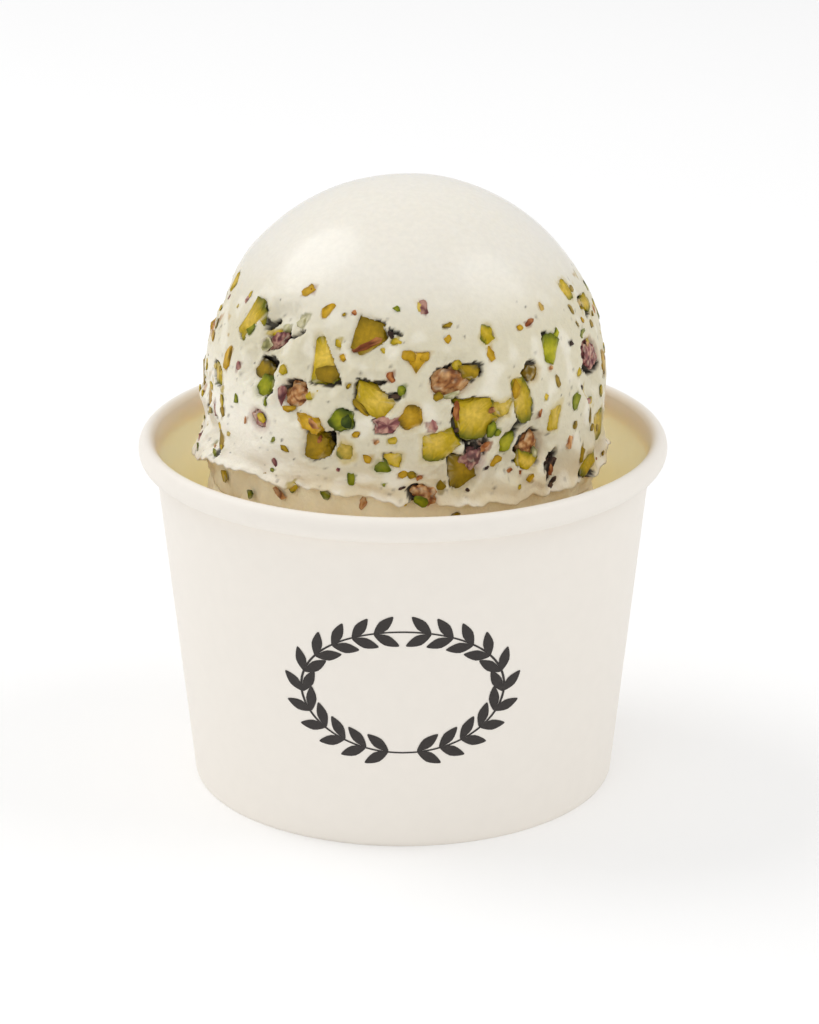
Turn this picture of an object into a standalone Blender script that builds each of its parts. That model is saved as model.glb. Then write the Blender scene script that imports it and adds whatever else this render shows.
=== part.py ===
"""A paper gelato cup with a rolled rim, a first portion pressed into it and a scoop on top.

The scoop is set with chopped pistachios. All sizes are in metres, +Z is up, the front faces -Y,
and the origin is the centre of the ring that the cup stands on.
"""

import math
import random

import bpy
from mathutils import Matrix, Vector, noise

MM = 0.001

# The cup
RIM_DIAMETER = 90 * MM
CUP_HEIGHT = 61 * MM
BASE_DIAMETER = 72.6 * MM
WALL_TAPER = 5.7 / 55  # the wall leans out by this much for each unit of height
PAPER = 0.5 * MM
ROLL_WIDTH = 3.0 * MM
ROLL_HEIGHT = 4.3 * MM
HEEL_THICKNESS = 1.3 * MM  # the wall's lower edge, folded back up on itself
HEEL_HEIGHT = 5.5 * MM
FOOT_BEVEL = 0.4 * MM
BASE_SHEET = 0.6 * MM
GAP = 0.3 * MM  # left between pieces that touch
CUP_STEPS = 72

# The scoop
SCOOP_RADIUS = 33.8 * MM
SCOOP_CENTRE = Vector((0.5, 0, 71.2)) * MM
SCOOP_BOTTOM = 54.5 * MM
SIDE_TAPER = 0.012  # the side draws in by this much for each unit of height below the widest point
LIP_HEIGHT = 59.0 * MM  # the ragged lower edge that the scooping tool leaves
LIP_FLARE = 0.5 * MM
LIP_UNDERCUT = 1.7 * MM
LIP_FADE = 8 * MM  # the lip's rise and fall dies out this far above it
LIP_RIPPLE = 0.7 * MM
SCOOP_STEPS = 84
DOME_ROWS = (8, 17, 26, 34, 42, 49)  # in degrees from the top
BAND_ROW = 1.9 * MM

# The scoop's uneven surface: how wide and how high its slow lumps are
LUMP_WIDTH = 9 * MM
BAND_LUMP = 0.30 * MM
DOME_LUMP = 0.12 * MM
COLLAR_TOP = 74 * MM  # the side is smeared and uneven from here down
COLLAR_LUMP_WIDTH = 5 * MM
COLLAR_LUMP = 1.2 * MM
COLLAR_BULGE = 1.0 * MM  # on the left
HOLLOW_FLOOR = 0.55  # a torn hollow is deepest up to this share of its half width
HOLLOW_EDGE = 1.25  # and runs out here

# The lip's height in mm at every 30 degrees round, from the front towards +X
LIP_ROUND = (60.4, 58.8, 57.9, 58.6, 59.4, 60.0, 59.6, 58.6, 58.0, 57.0, 60.9, 61.2)

# The first portion, which fills the cup's foot and carries the scoop
BED_SHOULDER_HEIGHT = 35 * MM
BED_NECK_HEIGHT = 48 * MM
BED_NECK_RADIUS = 33.2 * MM
BED_TOP_RADIUS = 32.3 * MM
BED_LUMP_WIDTH = 11 * MM
BED_LUMP = 0.9 * MM
BED_BULGE = 0.8 * MM  # on the left
BED_STEPS = 60

# Pistachio pieces
NUT_SEED = 7
BAND_LOW = 61 * MM
BAND_HIGH = 90 * MM
FRONT_HALF_ANGLE = math.radians(62)  # the placed pieces and hollows cover the front up to here
SCATTERED_NUTS = 68
NUT_TRIES = 6000
NUT_LENGTHS = (2.8 * MM, 7.5 * MM)
NUT_SLIMNESS = (0.55, 0.9)  # width as a share of length
NUTS_SINK = 1.25  # above 1, more of the pieces lie low in the band
NUT_SPACING = 0.2 * MM
NUT_THICKNESS = 0.8  # as a share of the width
NUT_UNEVENNESS = (0.88, 1.14)
NUT_PROUD = 0.16  # a piece's top stands out by this share of its width
DEEPEST_NUT = 1.2 * MM  # a piece in a hollow sits no deeper than this

# The large pieces at the front, set by hand: (across, height, length, width) in mm and a turn in degrees
PLACED_NUTS = {
    "shard_upper_left": (-25.0, 86.5, 7.0, 3.5, 60),
    "skin_upper_left": (-22.0, 84.5, 6.0, 3.5, 20),
    "amber_wedge": (-6.0, 87.0, 6.5, 5.0, 80),
    "half_kernel": (-13.5, 83.0, 8.0, 5.0, 100),
    "olive_left": (-24.0, 79.0, 4.5, 3.5, 0),
    "green_left": (-23.5, 76.5, 4.5, 4.0, 45),
    "tan_lump": (-18.5, 76.5, 5.5, 4.5, 30),
    "pink_flake": (-24.0, 71.0, 4.5, 3.5, -20),
    "olive_flake": (-16.0, 72.5, 4.5, 3.0, -20),
    "green_round": (-10.5, 73.5, 4.5, 4.0, 0),
    "wedge_kernel": (-5.5, 77.0, 7.0, 5.5, -40),
    "heart": (2.0, 83.0, 4.5, 3.5, 0),
    "oval": (13.0, 86.5, 3.5, 2.8, 90),
    "leaf": (23.5, 83.0, 5.5, 3.5, 60),
    "brown_skin": (7.5, 80.0, 7.5, 5.0, 15),
    "grey_green": (10.5, 81.5, 3.5, 2.5, -30),
    "largest_kernel": (11.5, 73.5, 8.0, 7.0, 0),
    "small_yellow": (16.0, 75.0, 3.5, 3.0, 0),
    "curved_slice": (19.0, 75.5, 8.0, 3.5, 100),
    "tan_crumb": (20.5, 79.5, 3.5, 3.0, 45),
    "yellow_right": (24.5, 71.5, 5.0, 3.0, 80),
    "low_kernel": (5.5, 69.5, 6.5, 5.0, 10),
    "amber_round": (1.0, 74.5, 4.5, 4.0, 70),
    "purple_flake": (-2.5, 73.0, 4.5, 2.5, 10),
    "olive_low_left": (-15.0, 68.0, 5.0, 4.5, 70),
    "yellow_low_left": (-10.0, 68.0, 4.0, 3.5, 100),
    "green_low": (-4.0, 66.0, 3.0, 2.8, 0),
    "yellow_green_low": (-2.0, 67.5, 3.5, 3.0, -30),
    "olive_low_right": (9.5, 64.5, 7.0, 5.0, 100),
    "pink_over_olive": (11.0, 67.0, 4.0, 3.5, 60),
    "green_in_crater": (17.0, 68.5, 4.0, 3.0, 60),
    "brown_in_crater": (21.5, 66.5, 5.5, 4.5, 70),
    "fibrous": (20.5, 64.5, 4.5, 3.0, -30),
    "dark_cluster": (24.5, 61.5, 6.0, 3.0, 70),
    "chunk_at_lip": (3.0, 61.0, 5.0, 3.5, -30),
}

# The torn hollows at the front: (across, height, width, depth) in mm
PLACED_CRATERS = {
    "left_upper": (-20.5, 86.5, 9.0, 2.2),
    "left_side": (-24.0, 79.5, 9.0, 2.0),
    "under_half_kernel": (-13.5, 82.0, 9.5, 1.4),
    "under_amber_wedge": (-6.0, 85.5, 8.0, 1.3),
    "tan_lump": (-18.5, 76.0, 8.0, 1.6),
    "wedge_kernel": (-6.5, 78.0, 9.0, 1.4),
    "brown_skin": (7.5, 80.5, 8.5, 1.4),
    "largest_kernel": (10.5, 73.0, 10.0, 1.3),
    "olive_low_left": (-13.5, 68.5, 8.0, 1.5),
    "right_low": (19.5, 67.0, 11.0, 2.4),
    "dark_cluster": (25.0, 62.0, 6.5, 1.8),
    "olive_low_right": (8.0, 64.5, 8.0, 1.5),
}
CRATER_SEED = 3
CRATERS_ROUND_THE_BACK = 17

# Small pieces below the lip, as angle from the front in degrees and height in mm
NECK_NUTS = {-62: 57.2, -38: 58.0, -17: 57.4, 14: 57.0, 118: 57.0, 163: 57.6, 214: 57.0}
BED_NUTS = {-78: 50.5, 78: 51.0, 128: 49.5, 176: 51.0, 231: 50.0}
LOW_NUT_LENGTH = 4.0 * MM
LOW_NUT_WIDTH = 2.4 * MM


def rgb(red, green, blue):
    return (red, green, blue, 1.0)


def make_material(name, colour, roughness):
    material = bpy.data.materials.new(name)
    material.use_nodes = True
    shader = material.node_tree.nodes["Principled BSDF"]
    shader.inputs["Base Color"].default_value = colour
    shader.inputs["Roughness"].default_value = roughness
    shader.inputs["Metallic"].default_value = 0.0
    return material


def smoothstep(low, high, value):
    share = min(1.0, max(0.0, (value - low) / (high - low)))
    return share * share * (3 - 2 * share)


def direction(azimuth):
    """A level unit vector, at this angle round from the front towards +X."""
    return Vector((math.sin(azimuth), -math.cos(azimuth), 0))


def wall_radius(height):
    """The cup wall's outer radius."""
    return BASE_DIAMETER / 2 + WALL_TAPER * height


def inner_radius(height):
    return wall_radius(height) - PAPER


def fill_radius(height):
    """The first portion's radius where it lies against the wall."""
    return inner_radius(height) - 2 * GAP


def turned(name, outline, steps, location=(0, 0, 0)):
    """A solid turned from an outline of (radius, height), which runs down its outer side."""
    mesh = bpy.data.meshes.new(name)
    edges = [(i, i + 1) for i in range(len(outline) - 1)]
    if outline[0][0] > 0:
        edges.append((len(outline) - 1, 0))
    mesh.from_pydata([(radius, 0, height) for radius, height in outline], edges, [])
    obj = bpy.data.objects.new(name, mesh)
    bpy.context.scene.collection.objects.link(obj)
    obj.location = location
    screw = obj.modifiers.new("turn", "SCREW")
    screw.steps = screw.render_steps = steps
    screw.use_merge_vertices = True
    screw.merge_threshold = 1e-6
    screw.use_smooth_shade = True
    return obj


def made_mesh(obj):
    """The object with its modifiers applied."""
    bpy.context.view_layer.update()
    evaluated = obj.evaluated_get(bpy.context.evaluated_depsgraph_get())
    mesh = bpy.data.meshes.new_from_object(evaluated)
    old = obj.data
    obj.modifiers.clear()
    obj.data = mesh
    bpy.data.meshes.remove(old)
    return obj


def roll_outline():
    """The rolled rim from its highest point, round the outside, to where it meets the wall."""
    centre_radius = (RIM_DIAMETER - ROLL_WIDTH) / 2
    centre_height = CUP_HEIGHT - ROLL_HEIGHT / 2
    angles = [math.radians(a) for a in (90, 62, 34, 6, -22, -50, -78)]
    return [
        (
            centre_radius + ROLL_WIDTH / 2 * math.cos(a),
            centre_height + ROLL_HEIGHT / 2 * math.sin(a),
        )
        for a in angles
    ]


def wall_outline():
    """The paper wall: the roll, the outer side, the folded heel and the inner side."""
    roll_foot = CUP_HEIGHT - ROLL_HEIGHT - 0.6 * MM
    inner_edge = (RIM_DIAMETER / 2 - ROLL_WIDTH, CUP_HEIGHT - ROLL_HEIGHT / 2)
    return [
        *roll_outline(),
        (wall_radius(roll_foot) + 0.1 * MM, roll_foot),
        (wall_radius(roll_foot - 2 * MM), roll_foot - 2 * MM),
        (wall_radius(FOOT_BEVEL), FOOT_BEVEL),
        (wall_radius(0) - FOOT_BEVEL / 3, 0),
        (wall_radius(0) - HEEL_THICKNESS, 0),
        (wall_radius(HEEL_HEIGHT) - HEEL_THICKNESS, HEEL_HEIGHT),
        (inner_radius(HEEL_HEIGHT), HEEL_HEIGHT),
        (inner_radius(roll_foot), roll_foot),
        inner_edge,
        (inner_edge[0] + 0.4 * MM, CUP_HEIGHT - 0.5 * MM),
    ]


def make_cup_wall():
    return turned("cup_wall", wall_outline(), CUP_STEPS)


def make_cup_base():
    """The round sheet that closes the cup, resting on the folded heel."""
    low = HEEL_HEIGHT + GAP
    radius = inner_radius(low) - GAP
    outline = [(0, low + BASE_SHEET), (radius, low + BASE_SHEET), (radius, low), (0, low)]
    return turned("cup_base", outline, CUP_STEPS)


def bed_outline():
    """The first portion: a low fill against the wall with a mound that narrows under the scoop."""
    low = HEEL_HEIGHT + GAP + BASE_SHEET + GAP
    top = SCOOP_BOTTOM - GAP
    shoulder = BED_SHOULDER_HEIGHT
    return [
        (0, top),
        (BED_TOP_RADIUS * 0.55, top),
        (BED_TOP_RADIUS - 1.2 * MM, top),
        (BED_TOP_RADIUS, top - 1.0 * MM),
        (BED_TOP_RADIUS + 0.4 * MM, top - 4 * MM),
        (BED_NECK_RADIUS, BED_NECK_HEIGHT),
        (BED_NECK_RADIUS + 1.2 * MM, BED_NECK_HEIGHT - 5 * MM),
        (BED_NECK_RADIUS + 3.4 * MM, BED_NECK_HEIGHT - 9 * MM),
        (fill_radius(shoulder) - 1.2 * MM, shoulder + 0.8 * MM),
        (fill_radius(shoulder), shoulder - 1.4 * MM),
        (fill_radius(low + 14 * MM), low + 14 * MM),
        (fill_radius(low + 0.6 * MM), low + 0.6 * MM),
        (fill_radius(low) - 1.0 * MM, low),
        (0, low),
    ]


def make_bed():
    """The first portion of gelato, with slow lumps where no neighbour touches it."""
    bed = made_mesh(turned("gelato_bed", bed_outline(), BED_STEPS))
    for vertex in bed.data.vertices:
        point = vertex.co
        free = smoothstep(BED_SHOULDER_HEIGHT, BED_NECK_HEIGHT, point.z)
        free *= 1 - smoothstep(SCOOP_BOTTOM - 1.2 * MM, SCOOP_BOTTOM - 0.4 * MM, point.z)
        outward = Vector((point.x, point.y, 0))
        if outward.length > 1 * MM:
            outward.normalize()
            swell = noise.noise(point / BED_LUMP_WIDTH) * BED_LUMP * free
            left = max(0.0, -outward.x) * BED_BULGE * free
            point += outward * (swell + left)
    return bed


def scoop_outline():
    """The scoop: a ball above its widest point, a nearly upright side, the lip and a flat underside."""
    centre = SCOOP_CENTRE.z
    top = centre + SCOOP_RADIUS
    outline = [(0, top)]
    for angle in DOME_ROWS:
        lean = math.radians(angle)
        outline.append((SCOOP_RADIUS * math.sin(lean), centre + SCOOP_RADIUS * math.cos(lean)))
    start = outline[-1][1] - BAND_ROW
    rows = math.ceil((start - LIP_HEIGHT - 1.2 * MM) / BAND_ROW)
    for i in range(rows + 1):
        height = start + (LIP_HEIGHT + 1.2 * MM - start) * i / rows
        outline.append((core_radius(height), height))
    lip = core_radius(LIP_HEIGHT)
    outline += [
        (lip + LIP_FLARE, LIP_HEIGHT),
        (lip - LIP_UNDERCUT * 0.6, LIP_HEIGHT - 0.2 * MM),
        (neck_radius(), LIP_HEIGHT + 0.2 * MM),
        (neck_radius() - 0.6 * MM, SCOOP_BOTTOM),
        (lip * 0.5, SCOOP_BOTTOM),
        (0, SCOOP_BOTTOM),
    ]
    return outline


def core_radius(height):
    """The smooth scoop's radius at this height: a ball whose lower part hardly draws in."""
    rise = height - SCOOP_CENTRE.z
    if rise >= 0:
        return math.sqrt(max(0.0, SCOOP_RADIUS**2 - rise**2))
    return SCOOP_RADIUS + SIDE_TAPER * rise


def neck_radius():
    """The scoop's radius just under its lip."""
    return core_radius(LIP_HEIGHT) - LIP_UNDERCUT


def crater_spots():
    """(azimuth, height, width, depth) of every torn hollow, those at the front first."""
    spots = []
    for across, height, width, depth in PLACED_CRATERS.values():
        azimuth = math.asin(across * MM / core_radius(height * MM))
        spots.append((azimuth, height * MM, width * MM, depth * MM))
    draw = random.Random(CRATER_SEED)
    hidden = 2 * (math.pi - FRONT_HALF_ANGLE)
    for i in range(CRATERS_ROUND_THE_BACK):
        azimuth = FRONT_HALF_ANGLE + hidden * (i + draw.uniform(0.2, 0.8)) / CRATERS_ROUND_THE_BACK
        height = draw.uniform(BAND_LOW + 2 * MM, BAND_HIGH - 6 * MM)
        spots.append((azimuth, height, draw.uniform(6, 11) * MM, draw.uniform(1.0, 2.0) * MM))
    return spots


def scoop_relief(point, craters):
    """How far the scoop's surface stands out from the smooth form at a point of that form."""
    offset = point - SCOOP_CENTRE
    dome = smoothstep(BAND_HIGH - 4 * MM, BAND_HIGH + 4 * MM, point.z)
    rough = BAND_LUMP * (1 - dome) + DOME_LUMP * dome
    relief = noise.noise(offset / LUMP_WIDTH) * rough
    collar = 1 - smoothstep(LIP_HEIGHT + 1 * MM, COLLAR_TOP, point.z)
    relief += noise.noise(offset / COLLAR_LUMP_WIDTH + Vector((3, 1, 2))) * COLLAR_LUMP * collar
    relief += max(0.0, -offset.x / SCOOP_RADIUS) ** 3 * COLLAR_BULGE * collar
    pit = 0.0
    for azimuth, height, width, depth in craters:
        centre = SCOOP_CENTRE + direction(azimuth) * core_radius(height)
        centre.z = height
        away = (point - centre).length / (width / 2)
        if away < HOLLOW_EDGE:
            pit = max(pit, depth * (1 - smoothstep(HOLLOW_FLOOR, HOLLOW_EDGE, away)))
    return relief - pit


def lip_rise(azimuth):
    """How far the torn lip lies above its mean height at this angle."""
    place = math.degrees(azimuth) / 30 % len(LIP_ROUND)
    before = int(place)
    low, high = LIP_ROUND[before], LIP_ROUND[(before + 1) % len(LIP_ROUND)]
    height = low + (high - low) * smoothstep(0, 1, place - before)
    return height * MM - LIP_HEIGHT + noise.noise(direction(azimuth) * 9) * LIP_RIPPLE


def shape_scoop(obj, craters):
    """Moves each point of the smooth scoop out or in by its relief, and tears the lip."""
    for vertex in obj.data.vertices:
        point = vertex.co
        offset = point - SCOOP_CENTRE
        level = Vector((offset.x, offset.y, 0))
        azimuth = math.atan2(level.x, -level.y)
        outer = level.length > core_radius(max(point.z, LIP_HEIGHT)) - 0.5 * MM
        inward = level.length < SCOOP_RADIUS * 0.8 and point.z < SCOOP_CENTRE.z
        lip = 1 - smoothstep(LIP_HEIGHT, LIP_HEIGHT + LIP_FADE, point.z)
        underside = inward or point.z < SCOOP_BOTTOM + 0.2 * MM
        rise = 0.0 if underside else lip * lip_rise(azimuth)
        if outer:
            out = offset.normalized() if point.z > SCOOP_CENTRE.z else level.normalized()
            point += out * scoop_relief(point, craters)
        point.z += rise
    return obj


def nut_spots():
    """(azimuth, height, length, width, turn) of every large pistachio piece on the scoop."""
    spots = []
    for across, height, length, width, turn in PLACED_NUTS.values():
        azimuth = math.asin(across * MM / core_radius(height * MM))
        spots.append((azimuth, height * MM, length * MM, width * MM, math.radians(turn)))
    draw = random.Random(NUT_SEED)
    for _ in range(NUT_TRIES):
        if len(spots) == len(PLACED_NUTS) + SCATTERED_NUTS:
            break
        azimuth = draw.uniform(-math.pi, math.pi)
        height = BAND_LOW + (BAND_HIGH - BAND_LOW) * draw.random() ** NUTS_SINK
        length = draw.uniform(*NUT_LENGTHS)
        width = length * draw.uniform(*NUT_SLIMNESS)
        turn = draw.uniform(0, math.pi)
        here = direction(azimuth) * core_radius(height) + Vector((0, 0, height))
        apart = (
            (here - direction(a) * core_radius(h) - Vector((0, 0, h))).length - (length + other) / 2
            for a, h, other, *_ in spots
        )
        if abs(azimuth) > FRONT_HALF_ANGLE and min(apart) > NUT_SPACING:
            spots.append((azimuth, height, length, width, turn))
    return spots


def make_nut(name, centre, outward, length, width, turn, draw):
    """An uneven chopped piece, its long side turned from level about the outward direction."""
    bpy.ops.mesh.primitive_ico_sphere_add(subdivisions=1, radius=1.0)
    nut = bpy.context.object
    nut.name = name
    thickness = width * NUT_THICKNESS
    for vertex in nut.data.vertices:
        vertex.co *= draw.uniform(*NUT_UNEVENNESS)
    side = outward.cross(Vector((0, 0, 1))).normalized()
    side.rotate(Matrix.Rotation(turn, 3, outward))
    axes = Matrix((side, outward.cross(side), outward)).transposed()
    stretch = Matrix.Diagonal((length / 2, width / 2, thickness / 2))
    nut.data.transform((axes @ stretch).to_4x4())
    nut.data.transform(Matrix.Translation(centre))
    return nut


def fuse(base, pieces):
    """Joins the pieces to the base as one solid."""
    heap = bpy.data.collections.new(base.name + "_pieces")
    bpy.context.scene.collection.children.link(heap)
    for piece in pieces:
        for owner in list(piece.users_collection):
            owner.objects.unlink(piece)
        heap.objects.link(piece)
    union = base.modifiers.new("pieces", "BOOLEAN")
    union.operation = "UNION"
    union.operand_type = "COLLECTION"
    union.collection = heap
    made_mesh(base)
    for piece in pieces:
        bpy.data.objects.remove(piece)
    bpy.data.collections.remove(heap)
    return base


def make_scoop():
    """The scoop with its torn hollows and the pistachio pieces that stand out of it."""
    craters = crater_spots()
    scoop = turned("gelato_scoop", scoop_outline(), SCOOP_STEPS, (SCOOP_CENTRE.x, 0, 0))
    made_mesh(scoop)
    scoop.data.transform(Matrix.Translation(scoop.location))
    scoop.location = (0, 0, 0)
    shape_scoop(scoop, craters)
    draw = random.Random(NUT_SEED + 1)
    nuts = []
    for i, (azimuth, height, length, width, turn) in enumerate(nut_spots()):
        surface = SCOOP_CENTRE + direction(azimuth) * core_radius(height)
        surface.z = height
        outward = (surface - SCOOP_CENTRE).normalized() if height > SCOOP_CENTRE.z else direction(azimuth)
        standing = scoop_relief(surface, craters)
        rise = (NUT_PROUD - NUT_THICKNESS / 2) * width
        centre = surface + outward * (max(standing, -DEEPEST_NUT) + rise)
        nuts.append(make_nut(f"nut_{i}", centre, outward, length, width, turn, draw))
    axis = Vector((SCOOP_CENTRE.x, 0, 0))
    nuts += make_low_nuts("neck_nut", NECK_NUTS, axis, neck_radius() - 0.6 * MM, draw)
    return fuse(scoop, nuts)


def make_low_nuts(name, places, axis, radius, draw):
    """Small pieces round an upright side of this radius."""
    nuts = []
    for i, (degrees, height) in enumerate(places.items()):
        outward = direction(math.radians(degrees))
        centre = axis + outward * radius + Vector((0, 0, height * MM))
        turn = draw.uniform(0, math.pi)
        nuts.append(make_nut(f"{name}_{i}", centre, outward, LOW_NUT_LENGTH, LOW_NUT_WIDTH, turn, draw))
    return nuts


def set_bed_nuts(bed):
    """Fuses the few pieces that show on the first portion."""
    draw = random.Random(NUT_SEED + 2)
    nuts = make_low_nuts("bed_nut", BED_NUTS, Vector(), BED_NECK_RADIUS + 0.3 * MM, draw)
    return fuse(bed, nuts)


def finish(obj, collection, material):
    """Files the object under the part, gives it its material and shades it."""
    for owner in list(obj.users_collection):
        owner.objects.unlink(obj)
    collection.objects.link(obj)
    obj.data.materials.clear()
    obj.data.materials.append(material)
    if obj.data.polygons:
        obj.data.shade_smooth()
        obj.data.set_sharp_from_angle(angle=math.radians(40))


def main():
    for obj in list(bpy.data.objects):
        bpy.data.objects.remove(obj)
    part = bpy.data.collections.new("gelato_cup")
    bpy.context.scene.collection.children.link(part)
    paper = make_material("cup_paper", rgb(0.86, 0.82, 0.76), 0.6)
    gelato = make_material("gelato", rgb(0.85, 0.82, 0.74), 0.45)
    finish(make_cup_wall(), part, paper)
    finish(make_cup_base(), part, paper)
    finish(set_bed_nuts(make_bed()), part, gelato)
    finish(make_scoop(), part, gelato)


main()
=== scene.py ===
"""The looks of a paper cup of pistachio gelato: coated board, frozen cream and chopped nuts."""

import math
import random
from collections import namedtuple

import bpy
import numpy as np
from bpy.props import FloatProperty, FloatVectorProperty, IntProperty, PointerProperty
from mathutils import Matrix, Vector, noise


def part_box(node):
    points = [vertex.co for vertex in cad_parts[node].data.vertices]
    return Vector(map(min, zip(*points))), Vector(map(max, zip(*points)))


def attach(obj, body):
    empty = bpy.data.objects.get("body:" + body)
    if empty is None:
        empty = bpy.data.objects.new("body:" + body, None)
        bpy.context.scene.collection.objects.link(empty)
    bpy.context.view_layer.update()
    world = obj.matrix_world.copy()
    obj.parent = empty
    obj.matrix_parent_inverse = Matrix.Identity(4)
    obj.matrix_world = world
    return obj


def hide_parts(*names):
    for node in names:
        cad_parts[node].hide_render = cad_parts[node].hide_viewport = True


bl_info = {
    "name": "Pistachio Gelato Cup",
    "version": (1, 0, 0),
    "blender": (4, 5, 0),
    "location": "View3D > Sidebar > Gelato",
    "description": "Models and finishes a paper cup of gelato with chopped pistachios",
    "category": "Object",
}

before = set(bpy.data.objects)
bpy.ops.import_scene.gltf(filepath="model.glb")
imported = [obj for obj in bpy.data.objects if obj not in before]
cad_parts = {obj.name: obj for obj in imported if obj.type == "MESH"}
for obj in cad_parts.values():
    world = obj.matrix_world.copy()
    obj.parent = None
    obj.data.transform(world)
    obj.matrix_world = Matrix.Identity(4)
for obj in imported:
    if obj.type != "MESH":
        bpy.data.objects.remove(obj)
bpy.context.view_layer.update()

MM = 0.001
FULL_TURN = 2 * math.pi

# The cup, measured on its solids
WALL_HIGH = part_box("cup_wall")[1]
FLOOR_LOW, FLOOR_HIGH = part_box("cup_base")
RIM_RADIUS = WALL_HIGH.x
CUP_HEIGHT = WALL_HIGH.z
BASE_RADIUS = 36.3 * MM
WALL_TAPER = 5.7 / 55  # the wall leans out by this much for each unit of height
PAPER = 0.5 * MM
ROLL_WIDTH = 3.0 * MM
ROLL_HEIGHT = 4.3 * MM
HEEL_THICKNESS = 1.3 * MM
HEEL_HEIGHT = 5.5 * MM
CUP_COLUMNS = 240
FLOOR_COLUMNS = 160
CUP_EDGE_ANGLE = 30  # degrees, from which an edge is sharp
SEAM_TURN = math.radians(158)  # the wall's side seam, from the front towards +X
SEAM_WIDTH = 8 * MM

# The printed wreath on the front: an oval of leaves
WREATH_LEAVES = 11  # pairs, up each side
LEAF_LEAN = math.radians(36)  # from the stem
LEAFY_PART = (-82, 74)  # the oval's part that bears leaves, in degrees from the right round to the left
STEM_WIDTH = 0.55 * MM
STEM_STEPS = 160
INK_LIFT = 0.06 * MM

# The scoop's smooth form
SCOOP_RADIUS = 33.8 * MM
SCOOP_CENTRE = np.array((0.5, 0.0, 71.2)) * MM
SIDE_TAPER = 0.012  # the side draws in by this much for each unit of height below the widest point
SCOOP_BOTTOM = 54.5 * MM
LIP_HEIGHT = 59.0 * MM
LIP_FLARE = 0.5 * MM
LIP_UNDERCUT = 1.7 * MM
LIP_FADE = 8 * MM
COLLAR_TOP = 74 * MM

# The lip's height in mm at every so many degrees round, from the front towards +X
LIP_STEP = 30
LIP_ROUND =(60.4, 58.8, 57.9, 58.6, 59.4, 60.0, 59.6, 58.6, 58.0, 57.0, 60.9, 61.2)

# Where the cream bulges at the left side: (height, how far, over what height) in mm
SIDE_BULGES = ((67.7, 1.1, 2.2), (60.0, 1.7, 2.6), (63.8, 0.4, 5.0))
NECK_SWELL = 1.1 * MM  # how far the neck under the lip comes out to meet the first portion

# The nut band
NUT_SEED = 7
BAND_LOW = 61 * MM
BAND_HIGH = 90 * MM
FRONT_HALF_ANGLE = math.radians(62)
SCATTERED_NUTS = 68
NUT_TRIES = 6000
NUT_LENGTHS = (2.8 * MM, 7.5 * MM)
NUT_SLIMNESS = (0.55, 0.9)  # width as a share of length
NUTS_SINK = 1.25  # above 1, more of the pieces lie low in the band
NUT_SPACING = 0.2 * MM
BARENESS = (0.35, 1.0)  # of the pieces round the sides and back, from 0, sunk, to 1, bare
CRACK_WIDTHS = (0, 0.4, 0.8, 1.2)  # mm, beside those pieces
PIT_DEPTH = 1.5 * MM
CRACK_SHARE = 0.7  # how deep a crack is, as a share of the pit beside it
KERNEL_RISE = 0.5  # how much of a whole kernel's roundness a cut one keeps above its rim
PIECE_THICKNESS = 0.85  # as a share of the width
SUNK_TOP = 0.05 * MM  # how far below the cream a sunk kernel's top lies
CRUMB_TOP = 0.08 * MM  # and how far above it a sunk crumb's lies
LOW_NUT_PROUD = 0.5 * MM
RAGGED = 0.45 * MM  # how uneven a piece's cut outline is
LUMPS = 5  # different crumpled pieces
GRAINS = 6  # different small crumpled ones
CHIPS = 12  # different small cut ones
NUT_EDGE_ANGLE = 32  # degrees, from which an edge is sharp

# The scoop's mesh: coarse columns and rows, and how often the band's faces are split each way
SCOOP_COLUMNS = 176
DOME_LOW = 91.5 * MM  # the mesh is finer from here down
ROW = 1.22 * MM
BAND_SPLITS = 3

# The first portion
BED_SHOULDER_HEIGHT = 35 * MM
BED_NECK_HEIGHT = 48 * MM
BED_NECK_RADIUS = 33.2 * MM
BED_TOP_RADIUS = 32.3 * MM
GAP = 0.3 * MM
BED_COLUMNS = 120
BED_SPLITS = 2

# The picture: the camera looks at TARGET, which is the middle of a frame of this many pixels
TARGET = Vector((1.12, 0, 46.2)) * MM
VIEW_ELEVATION = math.radians(19.93)
VIEW_DISTANCE = 650 * MM
LENS = 133.12
SENSOR = 36.0  # mm, along the frame's long side
FRAME_WIDTH = 819
FRAME_HEIGHT = 1024
SIGHT_NEAR = 60 * MM  # how far before and behind the target a line of sight is followed
SIGHT_FAR = 10 * MM
SIGHT_STEPS = 1400

# The stage: the soft boxes, each with the way it lies from the scoop, its distance and its width in m
FLOOR_SIZE = 8.0
SOFTBOXES = {
    "left": ((-0.62, 0.229, 0.75), 1.1, 0.75),
    "right": ((0.677, -0.049, 0.734), 1.1, 0.7),
    "front": ((-0.45, -1.0, 0.55), 1.6, 1.2),
}

# The torn hollows at the front: (across, height, width, depth) in mm
PLACED_CRATERS = {
    "left_upper": (-20.5, 86.5, 9.0, 2.2),
    "left_side": (-24.0, 79.5, 9.0, 2.0),
    "under_half_kernel": (-13.5, 82.0, 9.5, 1.4),
    "under_amber_wedge": (-6.0, 85.5, 8.0, 1.3),
    "tan_lump": (-18.5, 76.0, 8.0, 1.6),
    "wedge_kernel": (-6.5, 78.0, 9.0, 1.4),
    "brown_skin": (7.5, 80.5, 8.5, 1.4),
    "largest_kernel": (10.5, 73.0, 10.0, 1.3),
    "olive_low_left": (-13.5, 68.5, 8.0, 1.5),
    "right_low": (19.5, 67.0, 11.0, 2.4),
    "dark_cluster": (24.0, 62.5, 5.0, 0.6),
    "olive_low_right": (8.0, 64.5, 8.0, 1.5),
}
CRATER_SEED = 3
CRATERS_ROUND_THE_BACK = 17
CRATER_WIDTHS = (6, 11)  # mm
CRATER_DEPTHS = (1.0, 2.0)  # mm

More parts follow.
